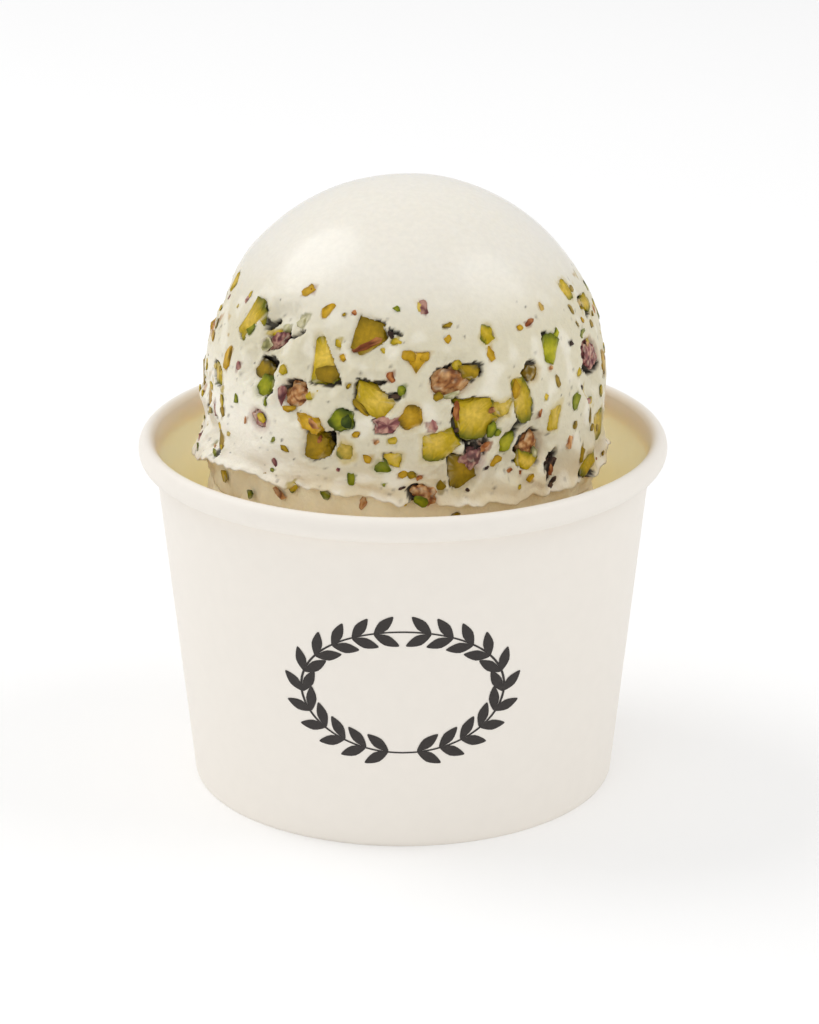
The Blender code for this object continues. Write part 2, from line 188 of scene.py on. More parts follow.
# The large pieces at the front: (across, height, length, width) in mm, a turn in degrees, a kind, how
# far from 0, sunk in the cream, to 1, bare, the facets it is cut to, and the crack beside it, as the
# direction where it opens in degrees from the right round to the left and its width in mm
PLACED_NUTS = {
    "shard_upper_left": (-25.0, 86.5, 7.0, 3.5, 60, "kernel", 1.0, "spike", -60, 0.4),
    "skin_upper_left": (-22.0, 84.2, 5.6, 2.8, 45, "skin", 1.0, "lump", 0, 0.4),
    "amber_wedge": (-6.0, 87.0, 6.5, 5.0, 80, "olive", 1.0, "pentagon", -10, 0.4),
    "half_kernel": (-13.5, 83.0, 8.0, 4.8, 100, "kernel", 1.0, "half", -50, 0.5),
    "olive_left": (-24.0, 79.0, 4.5, 3.5, 0, "olive", 0.8, "round", 40, 1.3),
    "green_left": (-23.5, 76.5, 4.5, 3.4, 50, "lime", 0.9, "round", 20, 0.6),
    "tan_lump": (-18.5, 76.5, 5.5, 4.5, 30, "tan", 1.0, "lump", 100, 0.3),
    "pink_flake": (-24.0, 71.0, 4.5, 3.5, -20, "skin", 0.7, "lump", 0, 0.0),
    "olive_flake": (-16.0, 72.5, 4.5, 3.0, -20, "amber", 0.7, "block", 0, 0.0),
    "green_round": (-10.5, 73.5, 4.5, 4.0, 0, "green", 1.0, "round", 0, 0.2),
    "wedge_kernel": (-5.5, 77.0, 7.0, 5.5, -40, "kernel", 1.0, "wedge", 110, 1.1),
    "heart": (2.0, 83.0, 4.5, 3.5, 0, "amber", 0.75, "heart", 0, 0.0),
    "oval": (13.0, 86.5, 3.5, 2.8, 90, "kernel", 0.6, "round", 0, 0.0),
    "leaf": (23.5, 82.4, 4.8, 3.6, 65, "lime", 1.0, "spike", 120, 0.3),
    "brown_skin": (7.5, 80.0, 7.5, 5.0, 15, "tan", 1.0, "lump", 90, 0.6),
    "grey_green": (10.5, 81.5, 3.5, 2.5, -30, "olive", 0.8, "block", 45, 0.7),
    "largest_kernel": (12.4, 73.5, 8.0, 7.0, 0, "kernel", 1.0, "square", 180, 0.9),
    "small_yellow": (16.0, 75.0, 3.5, 3.0, 0, "kernel", 0.5, "block", 0, 0.0),
    "curved_slice": (19.0, 75.5, 8.0, 3.5, 100, "kernel", 0.9, "slice", -100, 0.5),
    "tan_crumb": (20.5, 79.5, 3.5, 3.0, 45, "amber", 0.7, "lump", 140, 0.5),
    "yellow_right": (24.5, 71.5, 5.0, 3.0, 80, "kernel", 0.6, "block", 0, 0.0),
    "low_kernel": (5.5, 69.5, 6.5, 5.0, 10, "kernel", 0.7, "square", 0, 0.0),
    "amber_round": (1.0, 74.5, 4.5, 4.0, 70, "amber", 0.8, "round", 0, 0.0),
    "purple_flake": (-2.5, 73.0, 4.5, 2.5, 10, "skin", 0.9, "block", 180, 0.3),
    "olive_low_left": (-15.0, 68.0, 5.0, 4.5, 70, "olive", 1.0, "pentagon", 20, 1.4),
    "yellow_low_left": (-10.0, 68.0, 4.0, 3.5, 100, "kernel", 0.45, "round", 0, 0.0),
    "green_low": (-4.0, 66.0, 3.0, 2.8, 0, "green", 0.6, "round", 0, 0.0),
    "yellow_green_low": (-2.0, 67.5, 3.5, 3.0, -30, "kernel", 0.6, "block", 160, 0.3),
    "olive_low_right": (9.5, 64.5, 7.0, 5.0, 100, "olive", 0.8, "gem", 150, 0.4),
    "pink_over_olive": (11.0, 67.0, 4.0, 3.5, 60, "skin", 0.5, "lump", 100, 0.5),
    "green_in_crater": (17.0, 68.5, 4.0, 3.0, 60, "lime", 1.0, "block", 60, 0.8),
    "brown_in_crater": (21.5, 66.5, 5.5, 4.5, 70, "tan", 1.0, "lump", 180, 1.5),
    "fibrous": (20.5, 64.5, 4.5, 3.0, -30, "kernel", 1.0, "spike", 120, 0.8),
    "dark_cluster": (24.0, 62.3, 5.2, 2.0, 68, "dark", 1.0, "lump", 100, 0.3),
    "chunk_at_lip": (3.0, 61.0, 5.0, 3.5, -30, "tan", 0.9, "lump", 150, 0.4),
}

# The facets of a cut kernel: the way each looks, in degrees from the right round to the left, its tilt
# from 0, upright in the surface, to 90, flat, and its distance from the kernel's middle, whole being 1
FACETS = {
    "half": ((80, 76, 0.3), (183, 10, 0.46), (27, 10, 0.26), (-85, 30, 0.78)),
    "pentagon": (
        (100, 85, 0.3), (170, 6, 0.6), (72, 8, 0.62), (-50, 40, 0.36), (8, 12, 0.66), (-115, 9, 0.7)
    ),
    "wedge": ((20, 66, 0.35), (200, 60, 0.5), (75, 12, 0.5), (-40, 10, 0.6), (165, 15, 0.62), (-110, 9, 0.7)),
    "gem": ((160, 72, 0.4), (-20, 62, 0.5), (88, 14, 0.6), (182, 6, 0.66), (-60, 16, 0.58), (20, 10, 0.7)),
    "square": (
        (150, 74, 0.35), (-25, 64, 0.5), (95, 14, 0.64), (182, 8, 0.62), (-40, 12, 0.8), (25, 14, 0.74)
    ),
    "spike": ((150, 74, 0.25), (-35, 35, 0.3), (165, 10, 0.5), (-120, 15, 0.8)),
    "heart": ((80, 76, 0.3), (90, 14, 0.05), (-34, 12, 0.46), (207, 10, 0.52)),
    "slice": ((175, 64, 0.35), (0, 55, 0.6), (100, 20, 0.8), (-165, 8, 0.7)),
    "round": ((120, 80, 0.5), (-70, 40, 0.7), (10, 20, 0.8), (150, 12, 0.76)),
    "block": ((60, 74, 0.35), (190, 20, 0.52), (-20, 15, 0.56), (100, 10, 0.6), (-100, 12, 0.58)),
}

# Each kind of piece: the colours of its outer skin, its flesh and its pale heart
NUT_COLOURS = {
    "kernel": ("#5a6208", "#b89c0e", "#ddbc4c"),
    "green": ("#2c3a04", "#697204", "#9a9a18"),
    "lime": ("#4a5604", "#8f9206", "#bcb428"),
    # deep: a darker green that stands in for the shaded side of a green piece, painted shade
    "deep": ("#141f08", "#2a3a06", "#4e5c10"),
    "olive": ("#453806", "#8a7002", "#b08c14"),
    "amber": ("#6e5504", "#b48a06", "#d8ac30"),
    "tan": ("#6a3a22", "#b07440", "#deb07a"),
    "skin": ("#4c262c", "#8a5250", "#c89c88"),
    # dark: near-black seed skin for the dust; the dark bits set beside the large front pieces and in the open
    # crevices stand in for the shade of the pits there, painted shade
    "dark": ("#1c120c", "#34221a", "#5c4434"),
    "rust": ("#54220e", "#8e4a1e", "#c08048"),
    "frosted": ("#5c5a34", "#9a9460", "#d8d0ac"),
}
SCATTER_KINDS = ("kernel",) * 9 + ("green",) * 3 + ("olive",) * 4 + ("amber",) * 4 + ("skin", "tan", "tan")
HUSKS = ("tan", "skin", "dark", "rust", "frosted")
# painted shade: the dark brown laid into the open cracks, where light hardly reaches
CREVICE_SHADE = "#20150a"

# Small bits at the front, where the picture shows them; the dark ones that lie in the open crevices stand in
# for their shade, painted shade: (across, down) in its pixels, (length, width) in mm, a turn in degrees, a
# kind, and how far from 0, deep, to 1, at the surface
FRONT_SPOTS = (
    (222, 299, 2.6, 1.0, 70, "olive", 0.6),
    (218, 323, 2.4, 0.6, 80, "olive", 0.5),
    (239, 306, 0.8, 0.7, 0, "kernel", 0.3),
    (248, 300, 0.8, 0.6, 60, "skin", 0.6),
    (228, 358, 4.4, 1.9, 85, "amber", 0.9),
    (238, 366, 1.9, 1.2, 80, "skin", 0.6),
    (223, 402, 2.6, 1.0, 100, "kernel", 0.7),
    (226, 413, 2.2, 0.8, 105, "olive", 0.6),
    (237, 398, 1.3, 0.9, 90, "green", 0.7),
    (283, 369, 1.9, 1.3, 80, "kernel", 0.8),
    (338, 342, 1.9, 1.4, 80, "kernel", 0.8),
    (342, 357, 1.5, 1.2, 20, "amber", 0.7),
    (383, 350, 1.2, 0.8, 120, "kernel", 0.6),
    (311, 396, 2.6, 1.4, 30, "kernel", 0.6),
    (347, 386, 0.9, 0.8, 0, "olive", 0.8),
    (275, 440, 1.1, 0.8, 40, "green", 0.5),
    (286, 448, 1.8, 1.1, 150, "olive", 0.8),
    (232, 433, 1.3, 1.0, 0, "kernel", 0.2),
    (276, 463, 1.9, 1.1, 110, "skin", 0.9),
    (275, 472, 0.9, 0.7, 0, "green", 0.5),
    (369, 459, 1.6, 1.4, 0, "amber", 0.6),
    (356, 435, 1.6, 1.0, 30, "amber", 0.7),
    (376, 442, 1.0, 0.9, 0, "tan", 0.9),
    (392, 441, 1.7, 1.2, 20, "kernel", 0.8),
    (351, 481, 2.4, 1.4, 85, "green", 0.7),
    (338, 471, 0.7, 0.6, 0, "skin", 0.6),
    (402, 488, 1.0, 0.5, 10, "dark", 1.0),
    (384, 485, 0.7, 0.6, 0, "green", 0.5),
    (402, 476, 1.7, 1.2, 20, "amber", 0.9),
    (412, 476, 1.6, 1.1, -10, "olive", 0.9),
    (294, 487, 2.2, 1.5, 100, "kernel", 0.8),
    (397, 309, 1.1, 0.8, 150, "green", 0.9),
    (354, 313, 0.8, 0.7, 0, "rust", 0.9),
    (344, 315, 0.8, 0.6, 0, "olive", 0.8),
    (396, 341, 1.9, 1.3, 20, "kernel", 0.9),
    (391, 334, 1.5, 1.0, 140, "dark", 0.9),
    (309, 291, 2.8, 1.6, 35, "amber", 0.8),
    (312, 289, 1.0, 0.9, 0, "rust", 0.8),
    (327, 311, 3.1, 1.9, 55, "amber", 0.95),
    (424, 308, 2.4, 1.3, 100, "skin", 0.8),
    (420, 307, 1.4, 0.9, 90, "kernel", 0.4),
    (391, 377, 1.9, 1.5, 100, "rust", 0.8),
    (402, 391, 2.1, 1.6, 90, "green", 0.8),
    (393, 396, 1.8, 0.9, 0, "dark", 1.0),
    (266, 402, 1.7, 0.9, 90, "green", 0.8),
    (447, 326, 1.7, 0.9, 10, "olive", 0.8),
    (448, 339, 1.1, 0.9, 0, "amber", 0.6),
    (490, 354, 2.8, 1.2, 95, "amber", 0.8),
    (519, 328, 1.0, 0.8, 0, "amber", 0.7),
    (529, 323, 2.1, 1.2, 20, "rust", 0.6),
    (540, 307, 1.5, 1.1, 90, "amber", 0.3),
    (571, 309, 2.1, 1.0, 110, "olive", 0.5),
    (577, 324, 1.4, 0.7, 110, "olive", 0.4),
    (571, 343, 1.2, 1.0, 0, "dark", 0.9),
    (588, 344, 1.0, 0.9, 0, "tan", 0.5),
    (579, 373, 1.5, 1.3, 70, "kernel", 0.7),
    (550, 368, 1.1, 1.0, 0, "tan", 0.6),
    (558, 382, 2.4, 0.8, 105, "olive", 0.5),
    (546, 397, 1.2, 0.9, 80, "kernel", 0.7),
    (576, 401, 3.0, 2.0, 85, "green", 0.9),
    (587, 389, 1.1, 0.6, 80, "dark", 0.8),
    (541, 414, 1.4, 0.6, 80, "rust", 0.8),
    (590, 417, 3.0, 1.0, 85, "olive", 0.6),
    (574, 425, 1.5, 1.0, 70, "olive", 0.8),
    (568, 442, 2.2, 1.3, 75, "tan", 0.7),
    (580, 453, 3.0, 1.6, 85, "olive", 0.9),
    (585, 469, 1.6, 1.3, 60, "amber", 0.8),
    (457, 365, 2.2, 1.6, 60, "kernel", 0.9),
    (432, 427, 2.5, 2.2, 120, "skin", 0.95),
    (487, 447, 2.4, 1.6, 10, "rust", 1.0),
    (486, 468, 0.8, 0.7, 0, "dark", 1.0),
    (495, 461, 2.2, 1.5, 30, "amber", 0.6),
    (513, 473, 1.1, 0.5, 20, "rust", 0.9),
    (525, 474, 1.0, 0.5, 90, "rust", 0.7),
    (531, 479, 1.4, 1.2, 0, "amber", 0.9),
    (519, 487, 0.9, 0.8, 0, "kernel", 0.6),
    (420, 478, 1.0, 0.7, 10, "rust", 0.9),
    (442, 489, 2.3, 1.6, 80, "olive", 0.8),
    (404, 503, 0.9, 0.7, 0, "kernel", 0.7),
    (281, 326, 2.4, 2.0, 60, "frosted", 1.0),
    (304, 320, 3.4, 2.8, 20, "frosted", 1.0),
    (270, 331, 3.6, 1.6, 15, "kernel", 0.9),
    (251, 328, 2.6, 1.9, 70, "green", 0.9),
    (498, 432, 1.5, 1.2, 70, "green", 0.9),
    (458, 432, 0.8, 0.8, 0, "dark", 1.0),
    (247, 419, 1.6, 1.0, 60, "tan", 0.7),
    (324, 372, 3.0, 1.7, 0, "olive", 0.9),
)

# Parts of the large front pieces that have another colour; the deep one and the dark ones stand in for the
# shade on and beside those pieces, painted shade: (across, down) in pixels, (length, width) in mm, a turn, a
# kind, and how far they stand out in mm
FRONT_CAPS = (
    (325, 374, 4.3, 2.8, 20, "olive", 0.62),
    (410, 356, 2.6, 1.8, 170, "amber", 0.5),
    (425, 357, 2.0, 1.6, 30, "amber", 0.5),
    (367, 345, 5.2, 1.2, 24, "rust", 0.5),
    (360, 410, 4.2, 1.2, -48, "olive", 0.45),
    # painted shade: this deep cap is the shaded part of the green round piece
    (347, 422, 2.2, 1.9, 60, "deep", 0.75),
    (458, 411, 3.3, 1.0, 82, "rust", 0.45),
    (493, 430, 3.2, 1.9, 60, "green", 0.6),
    (493, 410, 1.5, 1.1, 20, "tan", 0.5),
    (515, 389, 3.2, 1.5, 75, "amber", 0.7),
    (437, 397, 1.7, 1.3, 30, "olive", 0.6),
    (452, 396, 2.6, 0.9, 20, "frosted", 0.6),
    (466, 489, 0.7, 0.6, 0, "dark", 0.6),
    (279, 394, 3.2, 1.6, 80, "skin", 0.6),
    (287, 409, 2.6, 1.2, 10, "amber", 0.6),
    (263, 417, 1.9, 1.3, -40, "kernel", 0.6),
    (313, 425, 2.2, 1.4, -35, "tan", 0.6),
    (420, 500, 2.4, 1.6, -40, "green", 0.75),
    (555, 334, 2.0, 1.2, 35, "lime", 0.4),
    (264, 344, 2.4, 1.8, 80, "frosted", 0.5),
    (540, 453, 2.4, 1.3, 100, "frosted", 0.9),
    (318, 440, 1.6, 1.0, 60, "rust", 0.6),
    (557, 463, 2.2, 1.1, 60, "dark", 0.5),
    (552, 472, 2.0, 1.2, 100, "rust", 0.5),
    (555, 481, 1.8, 0.9, 30, "dark", 0.5),
    (549, 487, 1.6, 0.7, 15, "dark", 0.5),
)

# Open crevices with no piece in them, painted dark as shade: (across, down) in pixels, (length, width) in mm,
# a turn
CREVICES = (
    (268, 322, 2.4, 1.3, 20),
    (295, 333, 2.2, 0.8, 20),
    (395, 397, 1.6, 0.9, 10),
    (368, 386, 4.4, 0.8, 15),
    (529, 454, 2.3, 1.3, 80),
    (259, 364, 1.5, 1.1, 0),
    (327, 444, 2.4, 1.2, 80),
    (548, 463, 2.2, 0.8, 60),
    (457, 400, 1.2, 0.8, 60),
    (482, 443, 1.4, 0.8, 20),
    (471, 448, 0.9, 0.7, 0),
    (517, 383, 0.9, 0.8, 0),
    (396, 332, 1.6, 0.7, 150),
)

# Small pieces below the lip, as angle from the front in degrees and height in mm
NECK_NUTS = {
    -62: 57.2,
    -50: 56.4,
    -43: 59.2,
    -38: 57.4,
    -34: 58.6,
    -23: 58.2,
    -12: 58.0,
    14: 56.6,
    118: 57.0,
    163: 57.6,
    214: 57.0,
}
BED_NUTS = {-78: 50.5, -70: 52.6, -66: 50.6, 78: 51.0, 128: 49.5, 176: 51.0, 231: 50.0}
LOW_NUT_LENGTH = 2.2 * MM
LOW_NUT_WIDTH = 1.4 * MM

# Crumbs that stand in the surface and specks that lie just under it
CRUMB_SEED = 19
CRUMB_SIZE = (1.0 * MM, 2.6 * MM)
SPECK_SEED = 23
SPECK_SIZE = (0.4 * MM, 2.2 * MM)
DUST_SEED = 31
DUST_SIZE = (0.25 * MM, 0.6 * MM)

Bit = namedtuple("Bit", "azimuth height length width turn kind bare facets crack_side crack_width")
PLAIN = ("block", 0.0, 0.0)  # facets and no crack


def srgb(code):
    """A hex colour as linear light."""
    shares = [int(code[i : i + 2], 16) / 255 for i in (1, 3, 5)]
    return [c / 12.92 if c <= 0.04045 else ((c + 0.055) / 1.055) ** 2.4 for c in shares]


def colour_property(name, description, code):
    return FloatVectorProperty(
        name=name, description=description, subtype="COLOR", size=3, min=0, max=1, default=srgb(code)
    )


def size_property(name, description, size, most):
    return FloatProperty(
        name=name, description=description, default=size, min=0, max=most, unit="LENGTH", precision=5
    )


def power_property(name, description, power):
    return FloatProperty(name=name, description=description, default=power, min=0, max=50, unit="POWER")


def count_property(name, description, count, most):
    return IntProperty(name=name, description=description, default=count, min=0, max=most)


def smoothstep(low, high, value):
    share = np.clip((np.asarray(value, float) - low) / (high - low), 0, 1)
    return share * share * (3 - 2 * share)


def hump(value, middle, reach):
    """1 at the middle, and nearly 0 from twice this reach away."""
    return np.exp(-(((value - middle) / reach) ** 2))


def direction(azimuth):
    """Level unit vectors, at these angles round from the front towards +X."""
    azimuth = np.asarray(azimuth, float)
    return np.stack([np.sin(azimuth), -np.cos(azimuth), np.zeros_like(azimuth)], axis=-1)


def ripple(points, size, shift=0.0):
    """Smooth noise from -1 to 1 whose lumps are about this wide."""
    moved = np.asarray(points) / size + shift
    return np.array([noise.noise(p) for p in moved.reshape(-1, 3).tolist()])


def grain(points, size, octaves):
    """Fractal noise, rougher than ripple."""
    moved = np.asarray(points) / size
    return np.array([noise.fractal(p, 0.9, 2.1, octaves) for p in moved.reshape(-1, 3).tolist()])


def wall_radius(height):
    return BASE_RADIUS + WALL_TAPER * height


def core_radius(height):
    """The smooth scoop's radius: a ball whose lower part hardly draws in."""
    rise = np.asarray(height, float) - SCOOP_CENTRE[2]
    ball = np.sqrt(np.clip(SCOOP_RADIUS**2 - rise**2, 0, None))
    return np.where(rise >= 0, ball, SCOOP_RADIUS + SIDE_TAPER * rise)


def neck_radius():
    return float(core_radius(LIP_HEIGHT)) - LIP_UNDERCUT


def crater_spots():
    """(azimuth, height, width, depth) of every torn hollow, those at the front first."""
    spots = []
    for across, height, width, depth in PLACED_CRATERS.values():
        azimuth = math.asin(across * MM / float(core_radius(height * MM)))
        spots.append((azimuth, height * MM, width * MM, depth * MM))
    draw = random.Random(CRATER_SEED)
    hidden = 2 * (math.pi - FRONT_HALF_ANGLE)
    for i in range(CRATERS_ROUND_THE_BACK):
        azimuth = FRONT_HALF_ANGLE + hidden * (i + draw.uniform(0.2, 0.8)) / CRATERS_ROUND_THE_BACK
        height = draw.uniform(BAND_LOW + 2 * MM, BAND_HIGH - 6 * MM)
        width, depth = draw.uniform(*CRATER_WIDTHS), draw.uniform(*CRATER_DEPTHS)
        spots.append((azimuth, height, width * MM, depth * MM))
    return spots


def lip_shift(azimuth, height):
    """How far the torn lip carries the surface up or down here."""
    share = 1 - smoothstep(LIP_HEIGHT, LIP_HEIGHT + LIP_FADE, height)
    share *= smoothstep(SCOOP_BOTTOM + 0.5 * MM, LIP_HEIGHT - 0.5 * MM, height)
    return share * lip_rise(np.atleast_1d(azimuth))


def before_lip(azimuth, height):
    """The height on the smooth form of what the lip carries to this height."""
    return height - float(lip_shift(azimuth, height)[0])


def nut_bits():
    """Every large pistachio piece on the scoop, those at the front first."""
    bits = []
    for across, height, length, width, turn, *looks in PLACED_NUTS.values():
        kind, bare, facets, crack_side, crack_width = looks
        azimuth = math.asin(across * MM / float(core_radius(height * MM)))
        crack = (math.radians(crack_side), crack_width * MM)
        size = (length * MM, width * MM, math.radians(turn))
        bits.append(Bit(azimuth, before_lip(azimuth, height * MM), *size, kind, bare, facets, *crack))
    draw = random.Random(NUT_SEED)
    looks = random.Random(NUT_SEED + 5)
    for _ in range(NUT_TRIES):
        if len(bits) == len(PLACED_NUTS) + SCATTERED_NUTS:
            break
        azimuth = draw.uniform(-math.pi, math.pi)
        height = BAND_LOW + (BAND_HIGH - BAND_LOW) * draw.random() ** NUTS_SINK
        length = draw.uniform(*NUT_LENGTHS)
        width = length * draw.uniform(*NUT_SLIMNESS)
        turn = draw.uniform(0, math.pi)
        here = smooth_point(azimuth, height)
        apart = (
            np.linalg.norm(here - smooth_point(b.azimuth, b.height)) - (length + b.length) / 2
            for b in bits
        )
        if abs(azimuth) > FRONT_HALF_ANGLE and min(apart) > NUT_SPACING:
            kind = looks.choice(SCATTER_KINDS)
            facets = "lump" if kind in HUSKS else looks.choice(sorted(FACETS))
            crack = (looks.uniform(0, FULL_TURN), looks.choice(CRACK_WIDTHS) * MM)
            bare = looks.uniform(*BARENESS)
            bits.append(Bit(azimuth, height, length, width, turn, kind, bare, facets, *crack))
    return bits


def scattered_bits(seed, count, sizes, crowding, front=True):
    """Small bits round the band, closer together low down, at the front only where they are wanted."""
    draw = random.Random(seed)
    bits = []
    while len(bits) < count:
        height = BAND_LOW - 1.5 * MM + (BAND_HIGH + 2 * MM - BAND_LOW) * draw.random() ** crowding
        length = sizes[0] + (sizes[1] - sizes[0]) * draw.random() ** 1.8
        width = length * draw.uniform(0.5, 0.95)
        azimuth = draw.uniform(-math.pi, math.pi)
        turn = draw.uniform(0, math.pi)
        kind = draw.choice(SCATTER_KINDS)
        bare = draw.random()
        if front or abs(azimuth) > FRONT_HALF_ANGLE:
            bits.append(Bit(azimuth, height, length, width, turn, kind, bare, *PLAIN))
    return bits


def seen_bit(across, down, length, width, turn, kind, bare=1.0, cut=PLAIN):
    """A bit at the front, where this pixel of the picture shows it."""
    azimuth, height = seen_at(across, down)
    size = (length * MM, width * MM, math.radians(turn))
    return Bit(azimuth, before_lip(azimuth, height), *size, kind, bare, *cut)


def front_spots():
    """The small bits at the front."""
    return [seen_bit(*spot) for spot in FRONT_SPOTS]


def front_caps():
    """The other-coloured parts of the large front pieces, each with how far it stands out."""
    return [(seen_bit(*cap), proud * MM) for *cap, proud in FRONT_CAPS]


def open_crevices():
    """The open crevices at the front, painted dark as shade in the cream's colour."""
    return [seen_bit(*crevice, "dark", cut=("crevice", 0, 0)) for crevice in CREVICES]


def view_axes():
    """The picture's right, up and backward directions."""
    right = Vector((1, 0, 0))
    back = Vector((0, -math.cos(VIEW_ELEVATION), math.sin(VIEW_ELEVATION)))
    return right, back.cross(right), back


def seen_at(across, down):
    """The azimuth and height where the scoop's smooth form shows at this pixel of the picture."""
    right, up, back = view_axes()
    focal = LENS / SENSOR * FRAME_HEIGHT
    ray = right * (across - FRAME_WIDTH / 2) + up * (FRAME_HEIGHT / 2 - down) - back * focal
    eye = np.array(TARGET + back * VIEW_DISTANCE)
    reach = np.linspace(VIEW_DISTANCE - SIGHT_NEAR, VIEW_DISTANCE + SIGHT_FAR, SIGHT_STEPS)
    points = eye + np.outer(reach, ray.normalized()) - SCOOP_CENTRE * (1, 1, 0)
    inside = np.hypot(points[:, 0], points[:, 1]) < core_radius(points[:, 2])
    first = points[np.argmax(inside)]
    return math.atan2(first[0], -first[1]), float(first[2])


def smooth_point(azimuth, height):
    """A point of the scoop's smooth form, about the scoop's own axis."""
    point = direction(azimuth) * float(core_radius(height))
    point[2] = height
    return point


def bit_frame(bit):
    """Where a bit sits on the smooth form, and what is right, up and outward there."""
    centre = smooth_point(bit.azimuth, bit.height)
    centre[0] += SCOOP_CENTRE[0]
    outward = direction(bit.azimuth)
    if bit.height > SCOOP_CENTRE[2]:
        outward = (centre - SCOOP_CENTRE) / SCOOP_RADIUS
    right = np.cross((0, 0, 1), outward)
    right /= np.linalg.norm(right)
    return centre, right, np.cross(outward, right), outward


def facet_angles(facets, turn):
    """A named piece's facets in its own plan, which is turned by this much."""
    return [(math.radians(way) - turn, math.radians(tilt), distance) for way, tilt, distance in facets]


def plan_reach(ways, facets):
    """How far a ball cut by these facets reaches from its middle, in plan, these ways."""
    reach = np.ones_like(ways)
    for way, tilt, distance in facets:
        facing = np.cos(ways - way) * math.cos(tilt)
        reach = np.minimum(reach, np.where(facing > 1e-3, distance / np.maximum(facing, 1e-3), 1))
    return reach


def plan_box(facets):
    """The middle and the half size of such a cut ball's plan."""
    ways = np.linspace(-math.pi, math.pi, 73)
    outline = plan_reach(ways, facets)[:, None] * np.stack([np.cos(ways), np.sin(ways)], axis=-1)
    low, high = outline.min(axis=0), outline.max(axis=0)
    return (low + high) / 2, (high - low) / 2


def bit_places(bit, offset):
    """How far points lie from a bit's middle, its rim being at 1, and the way they lie from it."""
    _, right, up, _ = bit_frame(bit)
    across, along = offset @ right, offset @ up
    cos, sin = math.cos(bit.turn), math.sin(bit.turn)
    long_way = (across * cos + along * sin) / (bit.length / 2)
    cross_way = (along * cos - across * sin) / (bit.width / 2)
    plan, rim = np.stack([long_way, cross_way], axis=-1), 1.0
    if bit.facets in FACETS:
        facets = facet_angles(FACETS[bit.facets], bit.turn)
        middle, half = plan_box(facets)
        plan = plan * half + middle
        rim = plan_reach(np.arctan2(plan[:, 1], plan[:, 0]), facets)
    return np.hypot(plan[:, 0], plan[:, 1]) / rim, np.arctan2(along, across)


def scoop_relief(points, craters):
    """How far the scoop stands out from its smooth form: slow lumps, the uneven collar, torn hollows."""
    offset = points - SCOOP_CENTRE
    dome = smoothstep(BAND_HIGH - 4 * MM, BAND_HIGH + 4 * MM, points[:, 2])
    relief = ripple(offset, 9 * MM) * (0.30 * MM * (1 - dome) + 0.12 * MM * dome)
    collar = 1 - smoothstep(LIP_HEIGHT + 1 * MM, COLLAR_TOP, points[:, 2])
    relief += ripple(offset, 5 * MM, np.array((3, 1, 2))) * 1.2 * MM * collar
    left = np.clip(-offset[:, 0] / SCOOP_RADIUS, 0, None) ** 3
    for height, depth, reach in SIDE_BULGES:
        relief += left * depth * MM * hump(points[:, 2] / MM, height, reach)
    torn = 0.22 * ripple(offset, 2.2 * MM) + 0.12 * ripple(offset, 0.9 * MM)
    pit = np.zeros(len(points))
    for azimuth, height, width, depth in craters:
        centre = SCOOP_CENTRE + direction(azimuth) * float(core_radius(height))
        centre[2] = height
        away = np.linalg.norm(points - centre, axis=1) / (width / 2) + torn
        pit = np.maximum(pit, depth * 0.7 * (1 - smoothstep(0.5, 1.25, away)))
    return relief - pit


def relief_at(bit, craters):
    """How far the scoop stands out from its smooth form at a bit."""
    return float(scoop_relief(np.array([bit_frame(bit)[0]]), craters)[0])


def icy_relief(points, ice):
    """Fine roughness of the band, in patches, and the faint wiped ridges of the dome."""
    offset = points - SCOOP_CENTRE
    band = 1 - smoothstep(BAND_HIGH - 6 * MM, BAND_HIGH + 3 * MM, points[:, 2])
    patch = smoothstep(-0.25, 0.35, ripple(offset, 6 * MM, np.array((7, 3, 5))))
    rough = grain(offset, 1.8 * MM, 4) * ice * band * (0.25 + 0.75 * patch)
    swept = offset @ np.array((0.62, 0.25, 0.74)) + ripple(offset, 14 * MM) * 3 * MM
    ridges = np.sin(swept / (0.9 * MM)) * np.clip(ripple(offset, 11 * MM, np.array((1, 8, 4))), 0, 1)
    return rough + ridges * 0.03 * MM * (1 - band)


def lip_rise(azimuth):
    """How far the torn lip lies above its mean height, from its heights round the scoop."""
    place = np.degrees(azimuth) / LIP_STEP % len(LIP_ROUND)
    before = place.astype(int)
    heights = np.array(LIP_ROUND)
    low, high = heights[before], heights[(before + 1) % len(LIP_ROUND)]
    height = low + (high - low) * smoothstep(0, 1, place - before)
    return height * MM - LIP_HEIGHT + ripple(direction(azimuth) * 9, 1.0) * 0.7 * MM


def portion_swell(points):
    """How far the first portion and the scoop's neck bulge out: lumps, more of them on the left, and
    an icy grain."""
    level = points[:, :2]
    left = np.clip(-level[:, 0] / np.maximum(np.linalg.norm(level, axis=1), 1e-9), 0, None)
    lumps = 0.7 * ripple(points, 9 * MM) + 0.5 * ripple(points, 3.6 * MM, np.array((2, 5, 1))) + 0.7 * left
    return (lumps + 0.22 * grain(points, 2.2 * MM, 4)) * MM


